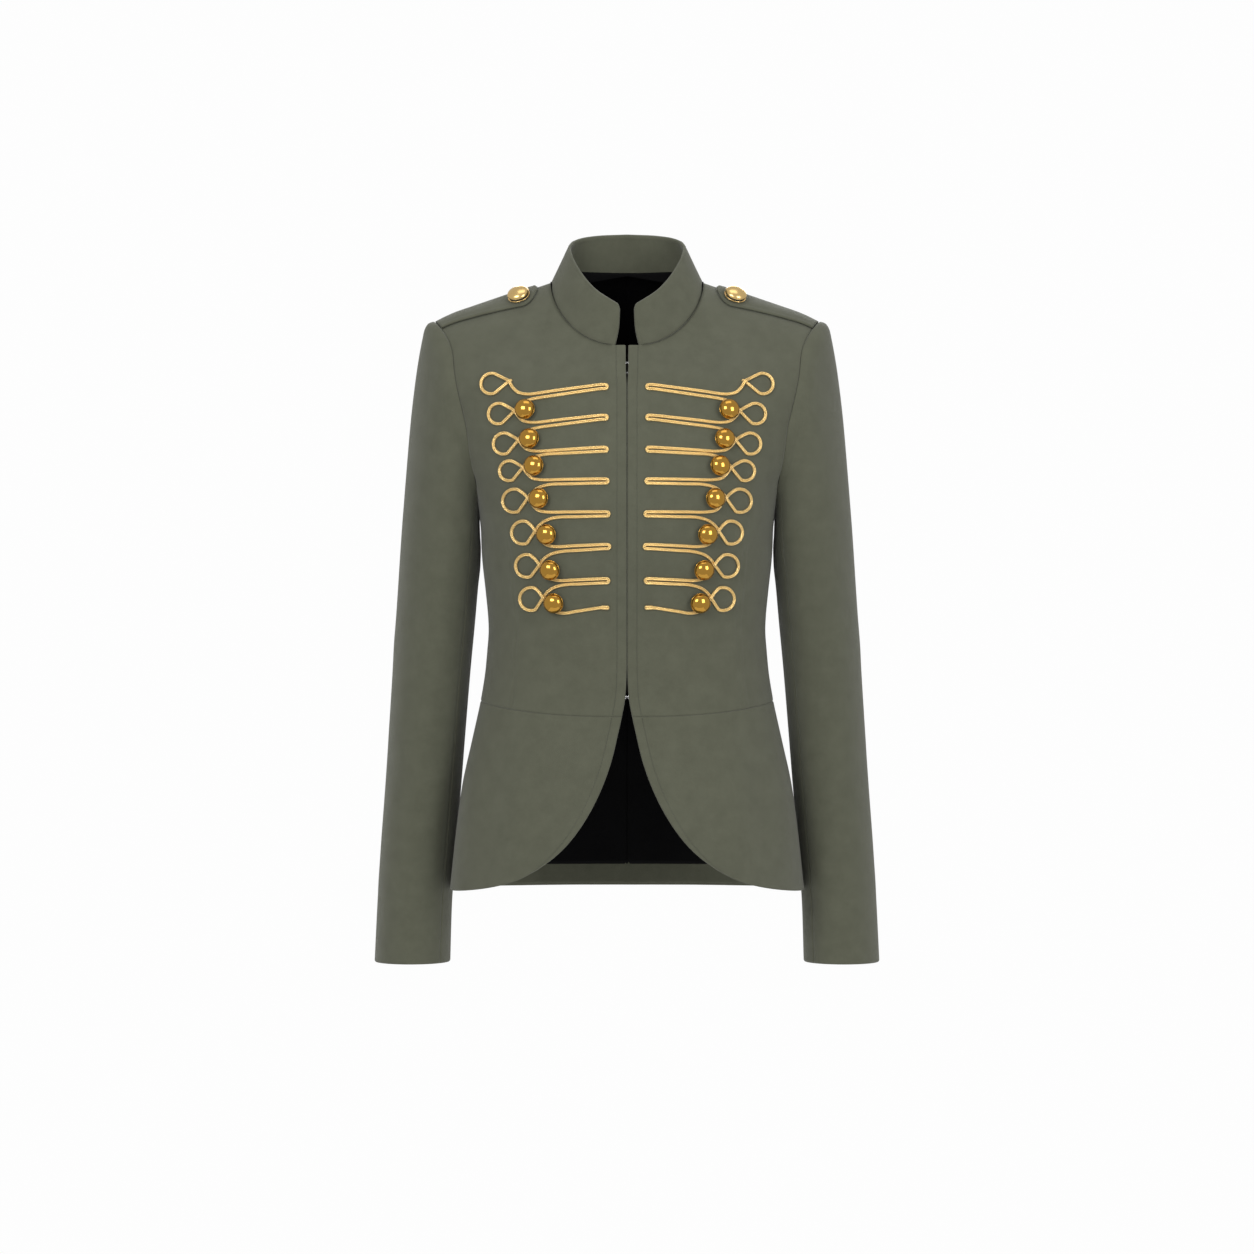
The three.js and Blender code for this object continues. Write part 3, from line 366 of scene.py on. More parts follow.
def makeMaterial(name, color, roughness, metallic=0.0, others=None):
    material = bpy.data.materials.new(name)
    material.use_nodes = True
    nodes = material.node_tree.nodes
    shader = nodes["Principled BSDF"]
    sockets = {"Base Color": (*color, 1), "Roughness": roughness, "Metallic": metallic, **(others or {})}
    for socket, value in sockets.items():
        shader.inputs[socket].default_value = value
    return material, nodes, material.node_tree.links, shader


def addNode(nodes, kind, **values):
    node = nodes.new(kind)
    for key, value in values.items():
        if hasattr(node, key):
            setattr(node, key, value)
        else:
            node.inputs[key].default_value = value
    return node


def addTexture(nodes, links, source, kind, **values):
    # a texture or mapping node that reads the given coordinates
    node = addNode(nodes, kind, **values)
    links.new(source, node.inputs["Vector"])
    return node


def addRamp(nodes, links, source, shader, look, start=0.35, end=0.65):
    # the base colour runs from dark to light with the source
    ramp = nodes.new("ShaderNodeValToRGB")
    steps = ((start, look["dark"]), (end, look["light"]))
    for element, (position, color) in zip(ramp.color_ramp.elements, steps):
        element.position = position
        element.color = (*color, 1)
    links.new(source, ramp.inputs["Fac"])
    links.new(ramp.outputs["Color"], shader.inputs["Base Color"])


def addBump(nodes, links, shader, sources):
    # each source is (output socket, distance in metres, strength)
    last = None
    for output, distance, strength in sources:
        bump = nodes.new("ShaderNodeBump")
        bump.inputs["Distance"].default_value = distance
        bump.inputs["Strength"].default_value = strength
        links.new(output, bump.inputs["Height"])
        if last:
            links.new(last.outputs["Normal"], bump.inputs["Normal"])
        last = bump
    links.new(last.outputs["Normal"], shader.inputs["Normal"])


wool = {
    "dark": (0.075, 0.078, 0.052), "light": (0.094, 0.098, 0.067), "rough": 0.84,
    "others": {"Sheen Weight": 0.2, "Sheen Roughness": 0.45, "Specular IOR Level": 0.3},
    "patchScale": 60, "fuzzScale": 1300, "fuzzShare": 0.55, "twillScale": 92, "twillAngle": 63,
}

woolCloth, nodes, links, shader = makeMaterial("wool_cloth", wool["light"], wool["rough"], 0, wool["others"])
place = nodes.new("ShaderNodeTexCoord").outputs
noise = "ShaderNodeTexNoise"
soft = addTexture(nodes, links, place["Object"], noise, Scale=wool["patchScale"], Detail=6, Roughness=0.65)
fuzz = addTexture(nodes, links, place["Object"], noise, Scale=wool["fuzzScale"], Detail=3, Roughness=0.7)
blend = addNode(nodes, "ShaderNodeMath", operation="MULTIPLY_ADD")
links.new(fuzz.outputs["Fac"], blend.inputs[0])
blend.inputs[1].default_value = wool["fuzzShare"]
links.new(soft.outputs["Fac"], blend.inputs[2])
addRamp(nodes, links, blend.outputs["Value"], shader, wool, 0.5, 1.0)
turn = (0, 0, math.radians(wool["twillAngle"]))
turned = addTexture(nodes, links, place["UV"], "ShaderNodeMapping", Rotation=turn)
twill = addTexture(nodes, links, turned.outputs["Vector"], "ShaderNodeTexWave", Scale=wool["twillScale"],
                   Distortion=1.2, Detail=2)
addBump(nodes, links, shader, [(twill.outputs["Fac"], 0.00012, 0.5), (fuzz.outputs["Fac"], 0.00018, 0.45)])

satin = {"dark": (0.0012, 0.0012, 0.0014), "light": (0.0022, 0.0022, 0.0026), "rough": 0.6, "specular": 0.06}

others = {"Specular IOR Level": satin["specular"]}
satinLining, nodes, links, shader = makeMaterial("satin_lining", satin["light"], satin["rough"], 0, others)
place = nodes.new("ShaderNodeTexCoord").outputs
soft = addTexture(nodes, links, place["Object"], "ShaderNodeTexNoise", Scale=22, Detail=3)
addRamp(nodes, links, soft.outputs["Fac"], shader, satin)
weave = addTexture(nodes, links, place["UV"], "ShaderNodeTexWave", Scale=150, Distortion=0.6)
addBump(nodes, links, shader, [(weave.outputs["Fac"], 0.00006, 0.4)])

# the braid's dark and light colours are a painted shade in the grooves between its strands and a painted
# highlight on their crowns
braid = {
    "dark": (0.56, 0.35, 0.11), "light": (0.93, 0.67, 0.28), "rough": 0.3, "metallic": 0.75, "sheen": 0.1,
    "strandScale": 40, "strandAngle": 38,
}

others = {"Sheen Weight": braid["sheen"]}
metallic = braid["metallic"]
braidGold, nodes, links, shader = makeMaterial("braid_gold", braid["light"], braid["rough"], metallic, others)
place = nodes.new("ShaderNodeTexCoord").outputs
turn = (0, 0, math.radians(braid["strandAngle"]))
turned = addTexture(nodes, links, place["UV"], "ShaderNodeMapping", Rotation=turn)
strandsAndShading = addTexture(nodes, links, turned.outputs["Vector"], "ShaderNodeTexWave", Scale=braid["strandScale"],
                     Distortion=0.5, Detail=1)
# painted shade and highlight: the colour goes dark where the strand pattern dips, as the bump does, and light
# on the strand crowns
addRamp(nodes, links, strandsAndShading.outputs["Fac"], shader, braid, 0, 0.45)
addBump(nodes, links, shader, [(strandsAndShading.outputs["Fac"], 0.00018, 0.4)])

wearRange = (0.8, 1.3)


def makeMetal(name, color, roughness, grain):
    material, nodes, links, shader = makeMaterial(name, color, roughness, 1.0)
    place = nodes.new("ShaderNodeTexCoord").outputs
    marks = addTexture(nodes, links, place["Object"], "ShaderNodeTexNoise", Scale=900, Detail=3)
    wear = addNode(nodes, "ShaderNodeMapRange")
    wear.inputs["To Min"].default_value = roughness * wearRange[0]
    wear.inputs["To Max"].default_value = roughness * wearRange[1]
    links.new(marks.outputs["Fac"], wear.inputs["Value"])
    links.new(wear.outputs["Result"], shader.inputs["Roughness"])
    addBump(nodes, links, shader, [(marks.outputs["Fac"], grain, 0.2)])
    return material


polishedBrass = makeMetal("polished_brass", (0.52, 0.28, 0.05), 0.12, 0.00002)
paleBrass = makeMetal("pale_brass", (0.78, 0.54, 0.22), 0.24, 0.00004)
steelWire = makeMetal("steel_wire", (0.72, 0.72, 0.72), 0.22, 0.00003)
print("materials made")

# cloth walls


def fineSteps(first, last, count, stepLength):
    # even steps with closer ones near both ends, stepLength in mm
    near = np.array([0, 0.5, 1.0, 1.6, 2.4, 3.4]) / stepLength
    inset = 4.8 / stepLength
    middle = np.linspace(first + inset, last - inset, count)
    return np.unique(np.concatenate([first + near, middle, last - near]))


def unit(vectors):
    length = np.linalg.norm(vectors, axis=-1, keepdims=True)
    return vectors / np.maximum(length, 1e-9)


def surfaceNormals(points, inside):
    down = np.gradient(points, axis=0)
    across = np.gradient(points, axis=1)
    normals = unit(np.cross(down, across))
    outward = points - inside
    return normals * np.sign(np.sum(normals * outward, axis=-1).mean())


def lengthsAlong(points, axis):
    step = np.linalg.norm(np.diff(points, axis=axis), axis=-1)
    pad = np.zeros_like(np.take(step, [0], axis=axis))
    return np.concatenate([pad, np.cumsum(step, axis=axis)], axis=axis)


def borderDistance(points, sides):
    # distance in mm from the sides that are named
    across = lengthsAlong(points, 1)
    down = lengthsAlong(points, 0)
    far = np.full(points.shape[:2], 1e3)
    choices = {
        "first": across,
        "last": across[:, -1:] - across,
        "top": down,
        "bottom": down[-1:, :] - down,
    }
    for side in sides:
        far = np.minimum(far, choices[side])
    return far


def softCreases(points, rows, turns=None, endShare=0.12):
    # rows are soft ridges or troughs: from a and b to a and b, half width, height, in mm
    a = points[..., 0] if turns is None else turns
    b = points[..., 2]
    height = np.zeros(b.shape)
    for a0, b0, a1, b1, width, rise in rows:
        wayA, wayB = a1 - a0, b1 - b0
        near = np.clip(((a - a0) * wayA + (b - b0) * wayB) / math.hypot(wayA, wayB) ** 2, 0, 1)
        away = np.hypot(a - (a0 + near * wayA), b - (b0 + near * wayB))
        taper = np.sin(math.pi * np.clip(endShare + (1 - 2 * endShare) * near, 0, 1))
        height += rise * taper * falloff(away, width)
    return height


def linkObject(name, data):
    piece = bpy.data.objects.new(name, data)
    scene.collection.objects.link(piece)
    return piece


def meshObject(name, vertices, faces, uv, slots=None, materials=(), side=1):
    # vertices are in mm, and side is -1 for the mirrored right half
    vertices = np.array(vertices) * metre
    vertices[:, 0] *= side
    mesh = bpy.data.meshes.new(name)
    mesh.from_pydata([tuple(v) for v in vertices], [], [tuple(f) for f in faces])
    layer = mesh.uv_layers.new(name="UVMap")
    loops = np.empty(len(mesh.loops), int)
    mesh.loops.foreach_get("vertex_index", loops)
    layer.data.foreach_set("uv", np.asarray(uv, float)[loops].ravel())
    for material in materials:
        mesh.materials.append(material)
    if slots is not None:
        mesh.polygons.foreach_set("material_index", np.asarray(slots, int))
    mesh.polygons.foreach_set("use_smooth", [True] * len(mesh.polygons))
    work = bmesh.new()
    work.from_mesh(mesh)
    bmesh.ops.recalc_face_normals(work, faces=work.faces)
    work.to_mesh(mesh)
    work.free()
    mesh.update()
    return linkObject(name, mesh)


def tubeFaces(start, rings, corners):
    # sides and end caps of a tube, ring after ring from the start vertex
    faces = []
    last = start + (rings - 1) * corners
    for n in range(start, last, corners):
        for k in range(corners):
            m = (k + 1) % corners
            faces.append((n + k, n + m, n + corners + m, n + corners + k))
    return faces + [tuple(range(start, start + corners)), tuple(range(last, last + corners))]


wallEdge = {"rollWidth": 0.9, "softWidth": 0.7, "soften": 0.35, "bulge": 0.28}


def bodyInside(points, drop=20):
    # points on the body's middle line, a little below each point
    inside = np.zeros_like(points)
    inside[..., 2] = points[..., 2] - drop
    return inside


def clothWall(name, points, thickness, relief=0.0, inside=None, lift=0.0, openSides=(), seams=None,
              facing=None, materials=(woolCloth, satinLining), side=1):
    # closed wall on a grid of points, rounded at its open sides and rolled down at its seams, by a depth each
    normals = surfaceNormals(points, bodyInside(points) if inside is None else inside)
    roll = np.zeros(points.shape[:2])
    for border, depth in (seams or {}).items():
        roll = np.maximum(roll, depth * falloff(borderDistance(points, (border,)), wallEdge["rollWidth"]))
    soften = 0.0
    if openSides:
        soften = wallEdge["soften"] * falloff(borderDistance(points, openSides), wallEdge["softWidth"])
    top = lift + relief - roll
    outer = points + normals * (top - soften)[..., None]
    inner = points + normals * (top - thickness + soften)[..., None]
    rows, columns = points.shape[:2]
    count = rows * columns
    ids = np.arange(count).reshape(rows, columns)
    rim = [(0, c) for c in range(columns)] + [(r, columns - 1) for r in range(1, rows)]
    rim += [(rows - 1, c) for c in range(columns - 2, -1, -1)] + [(r, 0) for r in range(rows - 2, 0, -1)]
    outward = np.zeros(points.shape)
    if "top" in openSides:
        outward[0] += unit(points[0] - points[1])
    if "bottom" in openSides:
        outward[-1] += unit(points[-1] - points[-2])
    if "first" in openSides:
        outward[:, 0] += unit(points[:, 0] - points[:, 1])
    if "last" in openSides:
        outward[:, -1] += unit(points[:, -1] - points[:, -2])
    middle = [(outer[at] + inner[at]) / 2 + outward[at] * wallEdge["bulge"] * thickness for at in rim]
    vertices = np.concatenate([outer.reshape(-1, 3), inner.reshape(-1, 3), np.array(middle)])
    uv = np.stack([lengthsAlong(points, 1).ravel(), lengthsAlong(points, 0).ravel()], -1) / 100
    rimIds = [ids[at] for at in rim]
    uv = np.concatenate([uv, uv, uv[rimIds]])
    a, b, c, d = (part.ravel() for part in (ids[:-1, :-1], ids[1:, :-1], ids[1:, 1:], ids[:-1, 1:]))
    faces = np.concatenate([
        np.stack([a, b, c, d], -1),
        np.stack([a + count, d + count, c + count, b + count], -1),
    ])
    slots = np.zeros(len(faces), int)
    if facing is not None:
        slots[len(a):] = np.where(facing[:-1, :-1].ravel(), 0, 1)
    strips = []
    for n in range(len(rim)):
        m = (n + 1) % len(rim)
        first, second = rimIds[n], rimIds[m]
        midFirst, midSecond = 2 * count + n, 2 * count + m
        strips.append((first, second, midSecond, midFirst))
        strips.append((midFirst, midSecond, second + count, first + count))
    faces = np.concatenate([faces, np.array(strips)])
    slots = np.concatenate([slots, np.zeros(len(strips), int)])
    return meshObject(name, vertices, faces, uv, slots, materials, side)


def settle(piece, node, flat=None):
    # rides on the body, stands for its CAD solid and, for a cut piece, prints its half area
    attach(piece, "root")
    if node:
        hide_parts(node)
    if flat:
        area = sum(polygon.area for polygon in piece.data.polygons) / 2
        print(piece.name, "half area", round(area, 5))


def threadLine(name, lines, material, side=1, stitch=2.6, pitch=3.4, radius=0.2):
    # each line is (points, normals) in mm, and each stitch four rings, the end ones small and sunk
    vertices = []
    faces = []
    corners = 6
    sunk = 0.12
    rings = ((0, 0.25, -sunk), (0.18, 1.0, sunk), (0.82, 1.0, sunk), (1, 0.25, -sunk))
    turns = [2 * math.pi * k / corners for k in range(corners)]
    circle = [(math.cos(turn), math.sin(turn)) for turn in turns]
    for points, normals in lines:
        along = lengthsAlong(points[None], 1)[0]
        for start in np.arange(1.0, along[-1] - pitch, pitch):
            places = np.array([start + share * stitch for share, _, _ in rings])
            at = np.stack([np.interp(places, along, points[:, k]) for k in range(3)], -1)
            up = unit(np.stack([np.interp(places, along, normals[:, k]) for k in range(3)], -1))
            way = unit(at[-1] - at[0])
            base = len(vertices)
            for n, (_, size, height) in enumerate(rings):
                across = np.cross(way, up[n])
                for u, v in circle:
                    vertices.append(at[n] + radius * size * (u * across + v * up[n]) + up[n] * height)
            faces += tubeFaces(base, len(rings), corners)
    return meshObject(name, vertices, faces, np.zeros((len(vertices), 2)), None, (material,), side)


threadWool = makeMaterial("wool_thread", (0.066, 0.070, 0.053), 0.6)[0]
sides = (("right", -1), ("left", 1))

# fronts and skirt fronts: creases are rows of x, z, x, z, half width and height on the body
front = {
    "label": "front", "node": "front", "wall": 2.0,
    "creases": [
        (150, -222, 112, -262, 9, 0.9), (146, -244, 104, -292, 8, -0.8), (158, -196, 128, -214, 7, -0.7),
        (168, -150, 150, -205, 9, 0.8), (160, -60, 138, -112, 15, -0.9), (132, -300, 92, -322, 10, 0.6),
        (134, -352, 84, -338, 9, -0.7), (130, -368, 70, -362, 8, 0.6), (60, -140, 30, -210, 22, 0.5),
        (128, -398, 60, -404, 9, -0.5), (104, -70, 70, -120, 18, 0.6),
    ],
    "open": ("first",), "seams": {"last": 0.4, "top": 0.12, "bottom": 0.8}, "facing": 62,
    "flat": {"size": (0.235, 0.48), "area": 0.0775, "held": "hung"},
}
dart = {
    "line": [(-236, 122.5), (-265, 116.5), (-329, 109.5), (-359, 108.7), (-396, 111), (-433, 113.5)],
    "depth": 0.55, "width": 0.75, "swell": 0.25, "swellWidth": 5, "fadeAbove": 6, "fadeOver": 40,
}
edgeStitch = {"fromEdge": 9.0, "depth": 0.22, "width": 0.9}
skirtFront = {
    "label": "skirt_front", "node": "peplum",
    "creases": [
        (150, -440, 165, -600, 12, 1.1), (128, -455, 138, -596, 11, -1.0), (104, -450, 112, -588, 12, 0.8),
        (78, -455, 84, -560, 11, -0.7),
    ],
    "open": ("first", "bottom"), "seams": {"last": 0.4, "top": 0.8}, "facing": 40,
    "flat": {"size": (0.235, 0.20), "area": 0.0315, "held": "hung"},
}


def dartGroove(points):
    z = points[..., 2]
    away = np.abs(points[..., 0] - readTable(dart["line"], z, 1))
    fade = np.clip((dart["line"][0][0] + dart["fadeAbove"] - z) / dart["fadeOver"], 0, 1)
    groove = -dart["depth"] * falloff(away, dart["width"]) * fade
    return groove + dart["swell"] * falloff(away, dart["swellWidth"]) * fade


def edgeLine(points, distance):
    # a line on a grid at a distance from its first column, with its normals
    across = lengthsAlong(points, 1)
    lines = []
    for values in (points, surfaceNormals(points, bodyInside(points))):
        lines.append(np.array([
            [np.interp(distance, across[r], values[r, :, k]) for k in range(3)] for r in range(len(points))
        ]))
    return lines[0], unit(lines[1])


across = fineSteps(0, frontColumns, 96, 13.5)[None, :]
bodice = bodicePoints(across, fineSteps(0, bodyRows, 150, 24)[:, None], True)
across = fineSteps(0, frontColumns, 84, 13.5)[None, :]
skirt = skirtPoints(across, fineSteps(0, skirtRows, 60, 26)[:, None], True)
parts = []
for grid, cut in ((bodice, front), (skirt, skirtFront)):
    relief = softCreases(grid, cut["creases"])
    if cut is front:
        relief = relief + dartGroove(grid)
    away = borderDistance(grid, ("first",)) - edgeStitch["fromEdge"]
    parts.append((grid, cut, relief - edgeStitch["depth"] * falloff(away, edgeStitch["width"])))
stitches = [edgeLine(grid, edgeStitch["fromEdge"]) for grid in (bodice, skirt)]
for name, side in sides:
    for grid, cut, relief in parts:
        piece = clothWall(
            f"{cut['label']}_{name}_sewn", grid, front["wall"], relief, openSides=cut["open"],
            seams=cut["seams"], facing=borderDistance(grid, cut["open"]) < cut["facing"], side=side,
        )
        settle(piece, f"{cut['node']}_{name}", cut["flat"])
    settle(threadLine(f"edge_stitches_{name}", stitches, threadWool, side), None)


print("fronts made")

# backs, back skirt, back lining and hem facing
back = {
    "wall": 2.0,
    "creases": [
        (150, -220, 110, -262, 10, 0.9), (146, -246, 96, -300, 9, -0.9), (160, -120, 148, -190, 10, 0.8),
        (120, -352, 60, -340, 9, -0.8), (122, -372, 40, -366, 9, 0.7), (124, -396, 30, -398, 9, -0.6),
        (40, -30, 24, -90, 16, 0.6), (110, -60, 90, -130, 18, -0.7),
    ],
    "flat": {"size": (0.21, 0.48), "area": 0.0815, "held": "hung"},
}
backSkirt = {
    "creases": [
        (-140, -450, -152, -600, 13, 1.2), (-100, -440, -108, -606, 14, -1.1), (-50, -450, -54, -606, 14, 1.0),
        (4, -445, 6, -606, 12, -0.8), (58, -450, 66, -606, 14, 1.0), (102, -445, 112, -606, 13, -1.0),
        (140, -450, 150, -600, 12, 1.1),
    ],
    "flat": {"size": (0.47, 0.20), "area": 0.0835, "held": "hung"},
}
lining = {
    "wall": 0.6, "inside": 3.4, "ridge": 0.8, "ridgeWidth": 2.2,
    "creases": [
        (8, -20, 26, -110, 6, 1.2), (30, -10, 44, -130, 8, -1.4), (60, -30, 66, -180, 9, 1.3),
        (14, -300, 20, -420, 7, -1.1), (40, -330, 46, -540, 9, 1.4), (70, -350, 76, -560, 9, -1.3),
        (22, -430, 30, -570, 8, 1.2), (100, -380, 108, -570, 9, 1.2),
    ],
    "flat": {"size": (0.21, 0.66), "area": 0.113, "held": "hung"},
}
facing = {
    "height": 24.5, "wall": 0.9, "inside": 2.5, "aboveHem": 0.06,
    "flat": {"size": (0.50, 0.026), "area": 0.0117, "held": "laid"},
}

across = fineSteps(0, backColumns, 70, 18)[None, :]
grid = bodicePoints(across, fineSteps(0, bodyRows, 120, 24)[:, None], False)
relief = softCreases(grid, back["creases"])
facingTop = skirtRows - skirtRows * facing["height"] / (waist["sideZ"] - hem["sideZ"])
upper = bodicePoints(across, fineSteps(0, bodyRows, 80, 24)[:, None], False)
lower = skirtPoints(across, np.linspace(0.02, facingTop + 0.1, 46)[:, None], False)
shell = np.concatenate([upper, lower])
ridge = lining["ridge"] * falloff(borderDistance(shell, ("first",)), lining["ridgeWidth"])
linedRelief = softCreases(shell, lining["creases"]) + ridge
for name, side in sides:
    piece = clothWall(
        f"back_{name}_sewn", grid, back["wall"], relief, facing=np.zeros(grid.shape[:2], bool), side=side,
        seams={"first": 0.5, "last": 0.4, "top": 0.12, "bottom": 0.7},
    )
    settle(piece, f"back_{name}", back["flat"])
    piece = clothWall(
        f"lining_{name}_sewn", shell, lining["wall"], linedRelief, lift=-lining["inside"],
        seams={"first": 0.6}, materials=(satinLining,), side=side,
    )
    settle(piece, f"lining_{name}", lining["flat"])
skirtAcross = fineSteps(-backColumns, backColumns, 130, 20)[None, :]
skirt = skirtPoints(skirtAcross, fineSteps(0, skirtRows, 60, 26)[:, None], False)
piece = clothWall(
    "skirt_back_sewn", skirt, back["wall"], softCreases(skirt, backSkirt["creases"]),
    openSides=("bottom",), seams={"first": 0.4, "last": 0.4, "top": 0.6},
)
settle(piece, "peplum_back", backSkirt["flat"])
stripAcross = fineSteps(-backColumns, backColumns, 120, 20)[None, :]
strip = skirtPoints(stripAcross, np.linspace(facingTop, skirtRows - facing["aboveHem"], 10)[:, None], False)
piece = clothWall(
    "hem_facing_sewn", strip, facing["wall"], softCreases(strip, backSkirt["creases"]),
    lift=-facing["inside"], openSides=("top",),
)
settle(piece, "hem_facing", facing["flat"])

print("backs and lining made")

# sleeves: creases are rows of turn round the sleeve, height, and the same again, half width and height
sleeve = {
    "wall": 2.0, "turnPerStep": 20, "headFade": 14, "cuffFacing": 32,
    "creases": [
        (34, -330, 96, -356, 11, -1.1), (40, -352, 112, -386, 11, 1.2), (-60, -340, 30, -372, 18, 0.5),
        (84, -372, 128, -408, 9, -1.0), (-100, -360, -20, -392, 12, -1.0), (70, -250, 128, -286, 10, 0.9),
        (96, -226, 134, -262, 8, -0.9), (-90, -230, -110, -290, 11, 0.9), (60, -470, 110, -520, 12, 0.7),
        (20, -480, 60, -505, 14, -0.6), (10, -600, 90, -612, 12, 0.5), (-6, -80, 4, -200, 16, 0.6),
        (52, -90, 66, -190, 14, -0.6),
    ],
    "topFlat": {"size": (0.27, 0.66), "area": 0.1165, "held": "hung"},
    "underFlat": {"size": (0.13, 0.53), "area": 0.0395, "held": "hung"},
}

rings = fineSteps(0, lastRing, 150, 46)
parts = (
    ("top", fineSteps(backSeamStep, frontSeamStep, 78, 16), "topFlat"),
    ("under", fineSteps(frontSeamStep, backSeamStep + 2 * armSteps, 34, 16), "underFlat"),
)
for label, steps, flat in parts:
    grid = sleevePoints(steps[None, :], rings[:, None])
    middle = np.broadcast_to(sleeveMiddle(rings)[:, None, :], grid.shape)
    turns = np.where(steps > armSteps, steps - 2 * armSteps, steps)[None, :] * sleeve["turnPerStep"]
    relief = softCreases(grid, sleeve["creases"], turns)
    relief = relief * np.clip(borderDistance(grid, ("top",)) / sleeve["headFade"], 0, 1)
    for name, side in sides:
        piece = clothWall(
            f"sleeve_{label}_{name}_sewn", grid, sleeve["wall"], relief, middle,
            openSides=("bottom",), seams={"first": 0.55, "last": 0.55},
            facing=borderDistance(grid, ("bottom",)) < sleeve["cuffFacing"], side=side,
        )
        settle(piece, f"sleeve_{label}_{name}", sleeve[flat])


print("sleeves made")

# stand collar and the lining behind the neck
collar = {
    "wall": 3.4, "bow": 1.6, "cornerDrop": 0.09, "cornerPlaces": 0.3, "cornerPower": 2.4, "closePlaces": 0.5,
    "stitchBelow": 2.6, "stitchDepth": 0.3, "stitchWidth": 0.7,
    "flat": {"size": (0.44, 0.055), "area": 0.0178, "held": "hung"},
}
neckLining = {
    "places": 5.2, "below": 0.07, "above": 0.02, "inside": 4.4, "wall": 0.5,
    "flat": {"size": (0.20, 0.035), "area": 0.0048, "held": "hung"},
}


def neckMiddle(grid, middleY=-8):
    middle = np.zeros_like(grid)
    middle[..., 1] = middleY
    middle[..., 2] = grid[..., 2]
    return middle


close = collarPlaces - collar["closePlaces"]
places = np.unique(np.concatenate([
    fineSteps(-collarPlaces, collarPlaces, 190, 21),
    np.linspace(-collarPlaces, -close, 14),
    np.linspace(close, collarPlaces, 14),
]))
grid = collarPoints(places[None, :], fineSteps(0, 1, 24, 44)[:, None])
openSides = ("bottom", "first", "last")
away = borderDistance(grid, openSides) - collar["stitchBelow"]
relief = -collar["stitchDepth"] * falloff(away, collar["stitchWidth"])
piece = clothWall(
    "collar_sewn", grid, collar["wall"], relief, neckMiddle(grid), openSides=openSides, materials=(woolCloth,),
)
settle(piece, "collar", collar["flat"])

# top of the lining, felled level along the foot of the collar behind the neck
places = np.linspace(-neckLining["places"], neckLining["places"], 120)
level = collarPoints(np.array([0.0]), np.array([0.0]))[0, 2]
foot = collarPoints(places, np.zeros_like(places))[:, 2]
edge = collarPoints(places, np.ones_like(places))[:, 2]
top = np.maximum((level - foot) / (edge - foot), 0) + neckLining["above"]
shares = np.linspace(0, 1, 12)[:, None]
grid = collarPoints(places[None, :], lerp(-neckLining["below"], top[None, :], shares))
piece = clothWall(
    "neck_lining_sewn", grid, neckLining["wall"], 0.0, neckMiddle(grid), lift=-neckLining["inside"],
    openSides=("bottom",), materials=(satinLining,),
)
settle(piece, None, neckLining["flat"])
print("collar made")

# shoulder straps
strap = {
    "endX": 89.6, "armY": 9, "endY": -7, "armHalf": 21, "endHalf": 18.5, "round": 17, "endShare": 0.03,
    "wall": 2.6, "lift": 3.1, "stitchFromEdge": 4.2, "stitchHalf": 20, "stitchDepth": 0.3, "stitchWidth": 0.8,
    "swell": 0.3, "swellWidth": 9, "middleDrop": 20, "seamLap": 0.4,
    "flat": {"size": (0.108, 0.043), "area": 0.0038, "held": "laid"},
}


def strapPoints(along, across):
    along, across = spread(along, across)
    length = shoulder["armX"] - strap["endX"]
    toEnd = np.minimum((1 - along) * length / strap["round"], 1)
    narrow = np.sqrt(np.maximum(1 - (1 - toEnd) ** 2, strap["endShare"]))
    half = lerp(strap["armHalf"], strap["endHalf"], along)
    y = lerp(strap["armY"], strap["endY"], along) - across * half * narrow
    steps = np.linspace(0, 3, 60)
    reach = []
    for isFront in (True, False):
        seam = armholePoints(steps, isFront)
        reach.append(np.interp(np.abs(y - armhole["topY"]), np.abs(seam[:, 1] - armhole["topY"]), seam[:, 0]))
    start = np.where(y < armhole["topY"], reach[0], reach[1])
    return shoulderPoints(lerp(start - strap["seamLap"], strap["endX"], along), y)


along = np.unique(np.concatenate([np.linspace(0, 0.84, 44), 1 - 0.16 * np.linspace(1, 0, 22) ** 1.7]))
across = np.unique(np.concatenate([np.linspace(-1, 1, 30), [-0.98, -0.95, 0.95, 0.98]]))
grid = strapPoints(along[None, :], across[:, None])
inside = grid.copy()
inside[..., 2] -= strap["middleDrop"]
openSides = ("top", "bottom", "last")
edge = borderDistance(grid, openSides)
relief = -strap["stitchDepth"] * falloff(edge - strap["stitchFromEdge"], strap["stitchWidth"])
relief = relief + strap["swell"] * np.clip(edge / strap["swellWidth"], 0, 1)
normals = surfaceNormals(grid, inside)
raised = grid + normals * strap["lift"]
lines = []
for sign in (-1, 1):
    share = 1 - strap["stitchFromEdge"] / strap["stitchHalf"]
    line = strapPoints(np.linspace(0.02, 0.9, 60), np.full(60, sign * share))
    ups = np.zeros_like(line) + unit(normals.mean(axis=(0, 1)))
    lines.append((line + ups * (strap["lift"] + 0.05), ups))
for name, side in sides:
    piece = clothWall(
        f"strap_{name}_sewn", raised, strap["wall"], relief, inside,
        openSides=openSides, materials=(woolCloth,), side=side,
    )
    settle(piece, f"strap_{name}", strap["flat"])
    thread = threadLine(f"strap_stitches_{name}", lines, threadWool, side, stitch=2.2, pitch=3.0)
    settle(thread, None)


print("straps made")

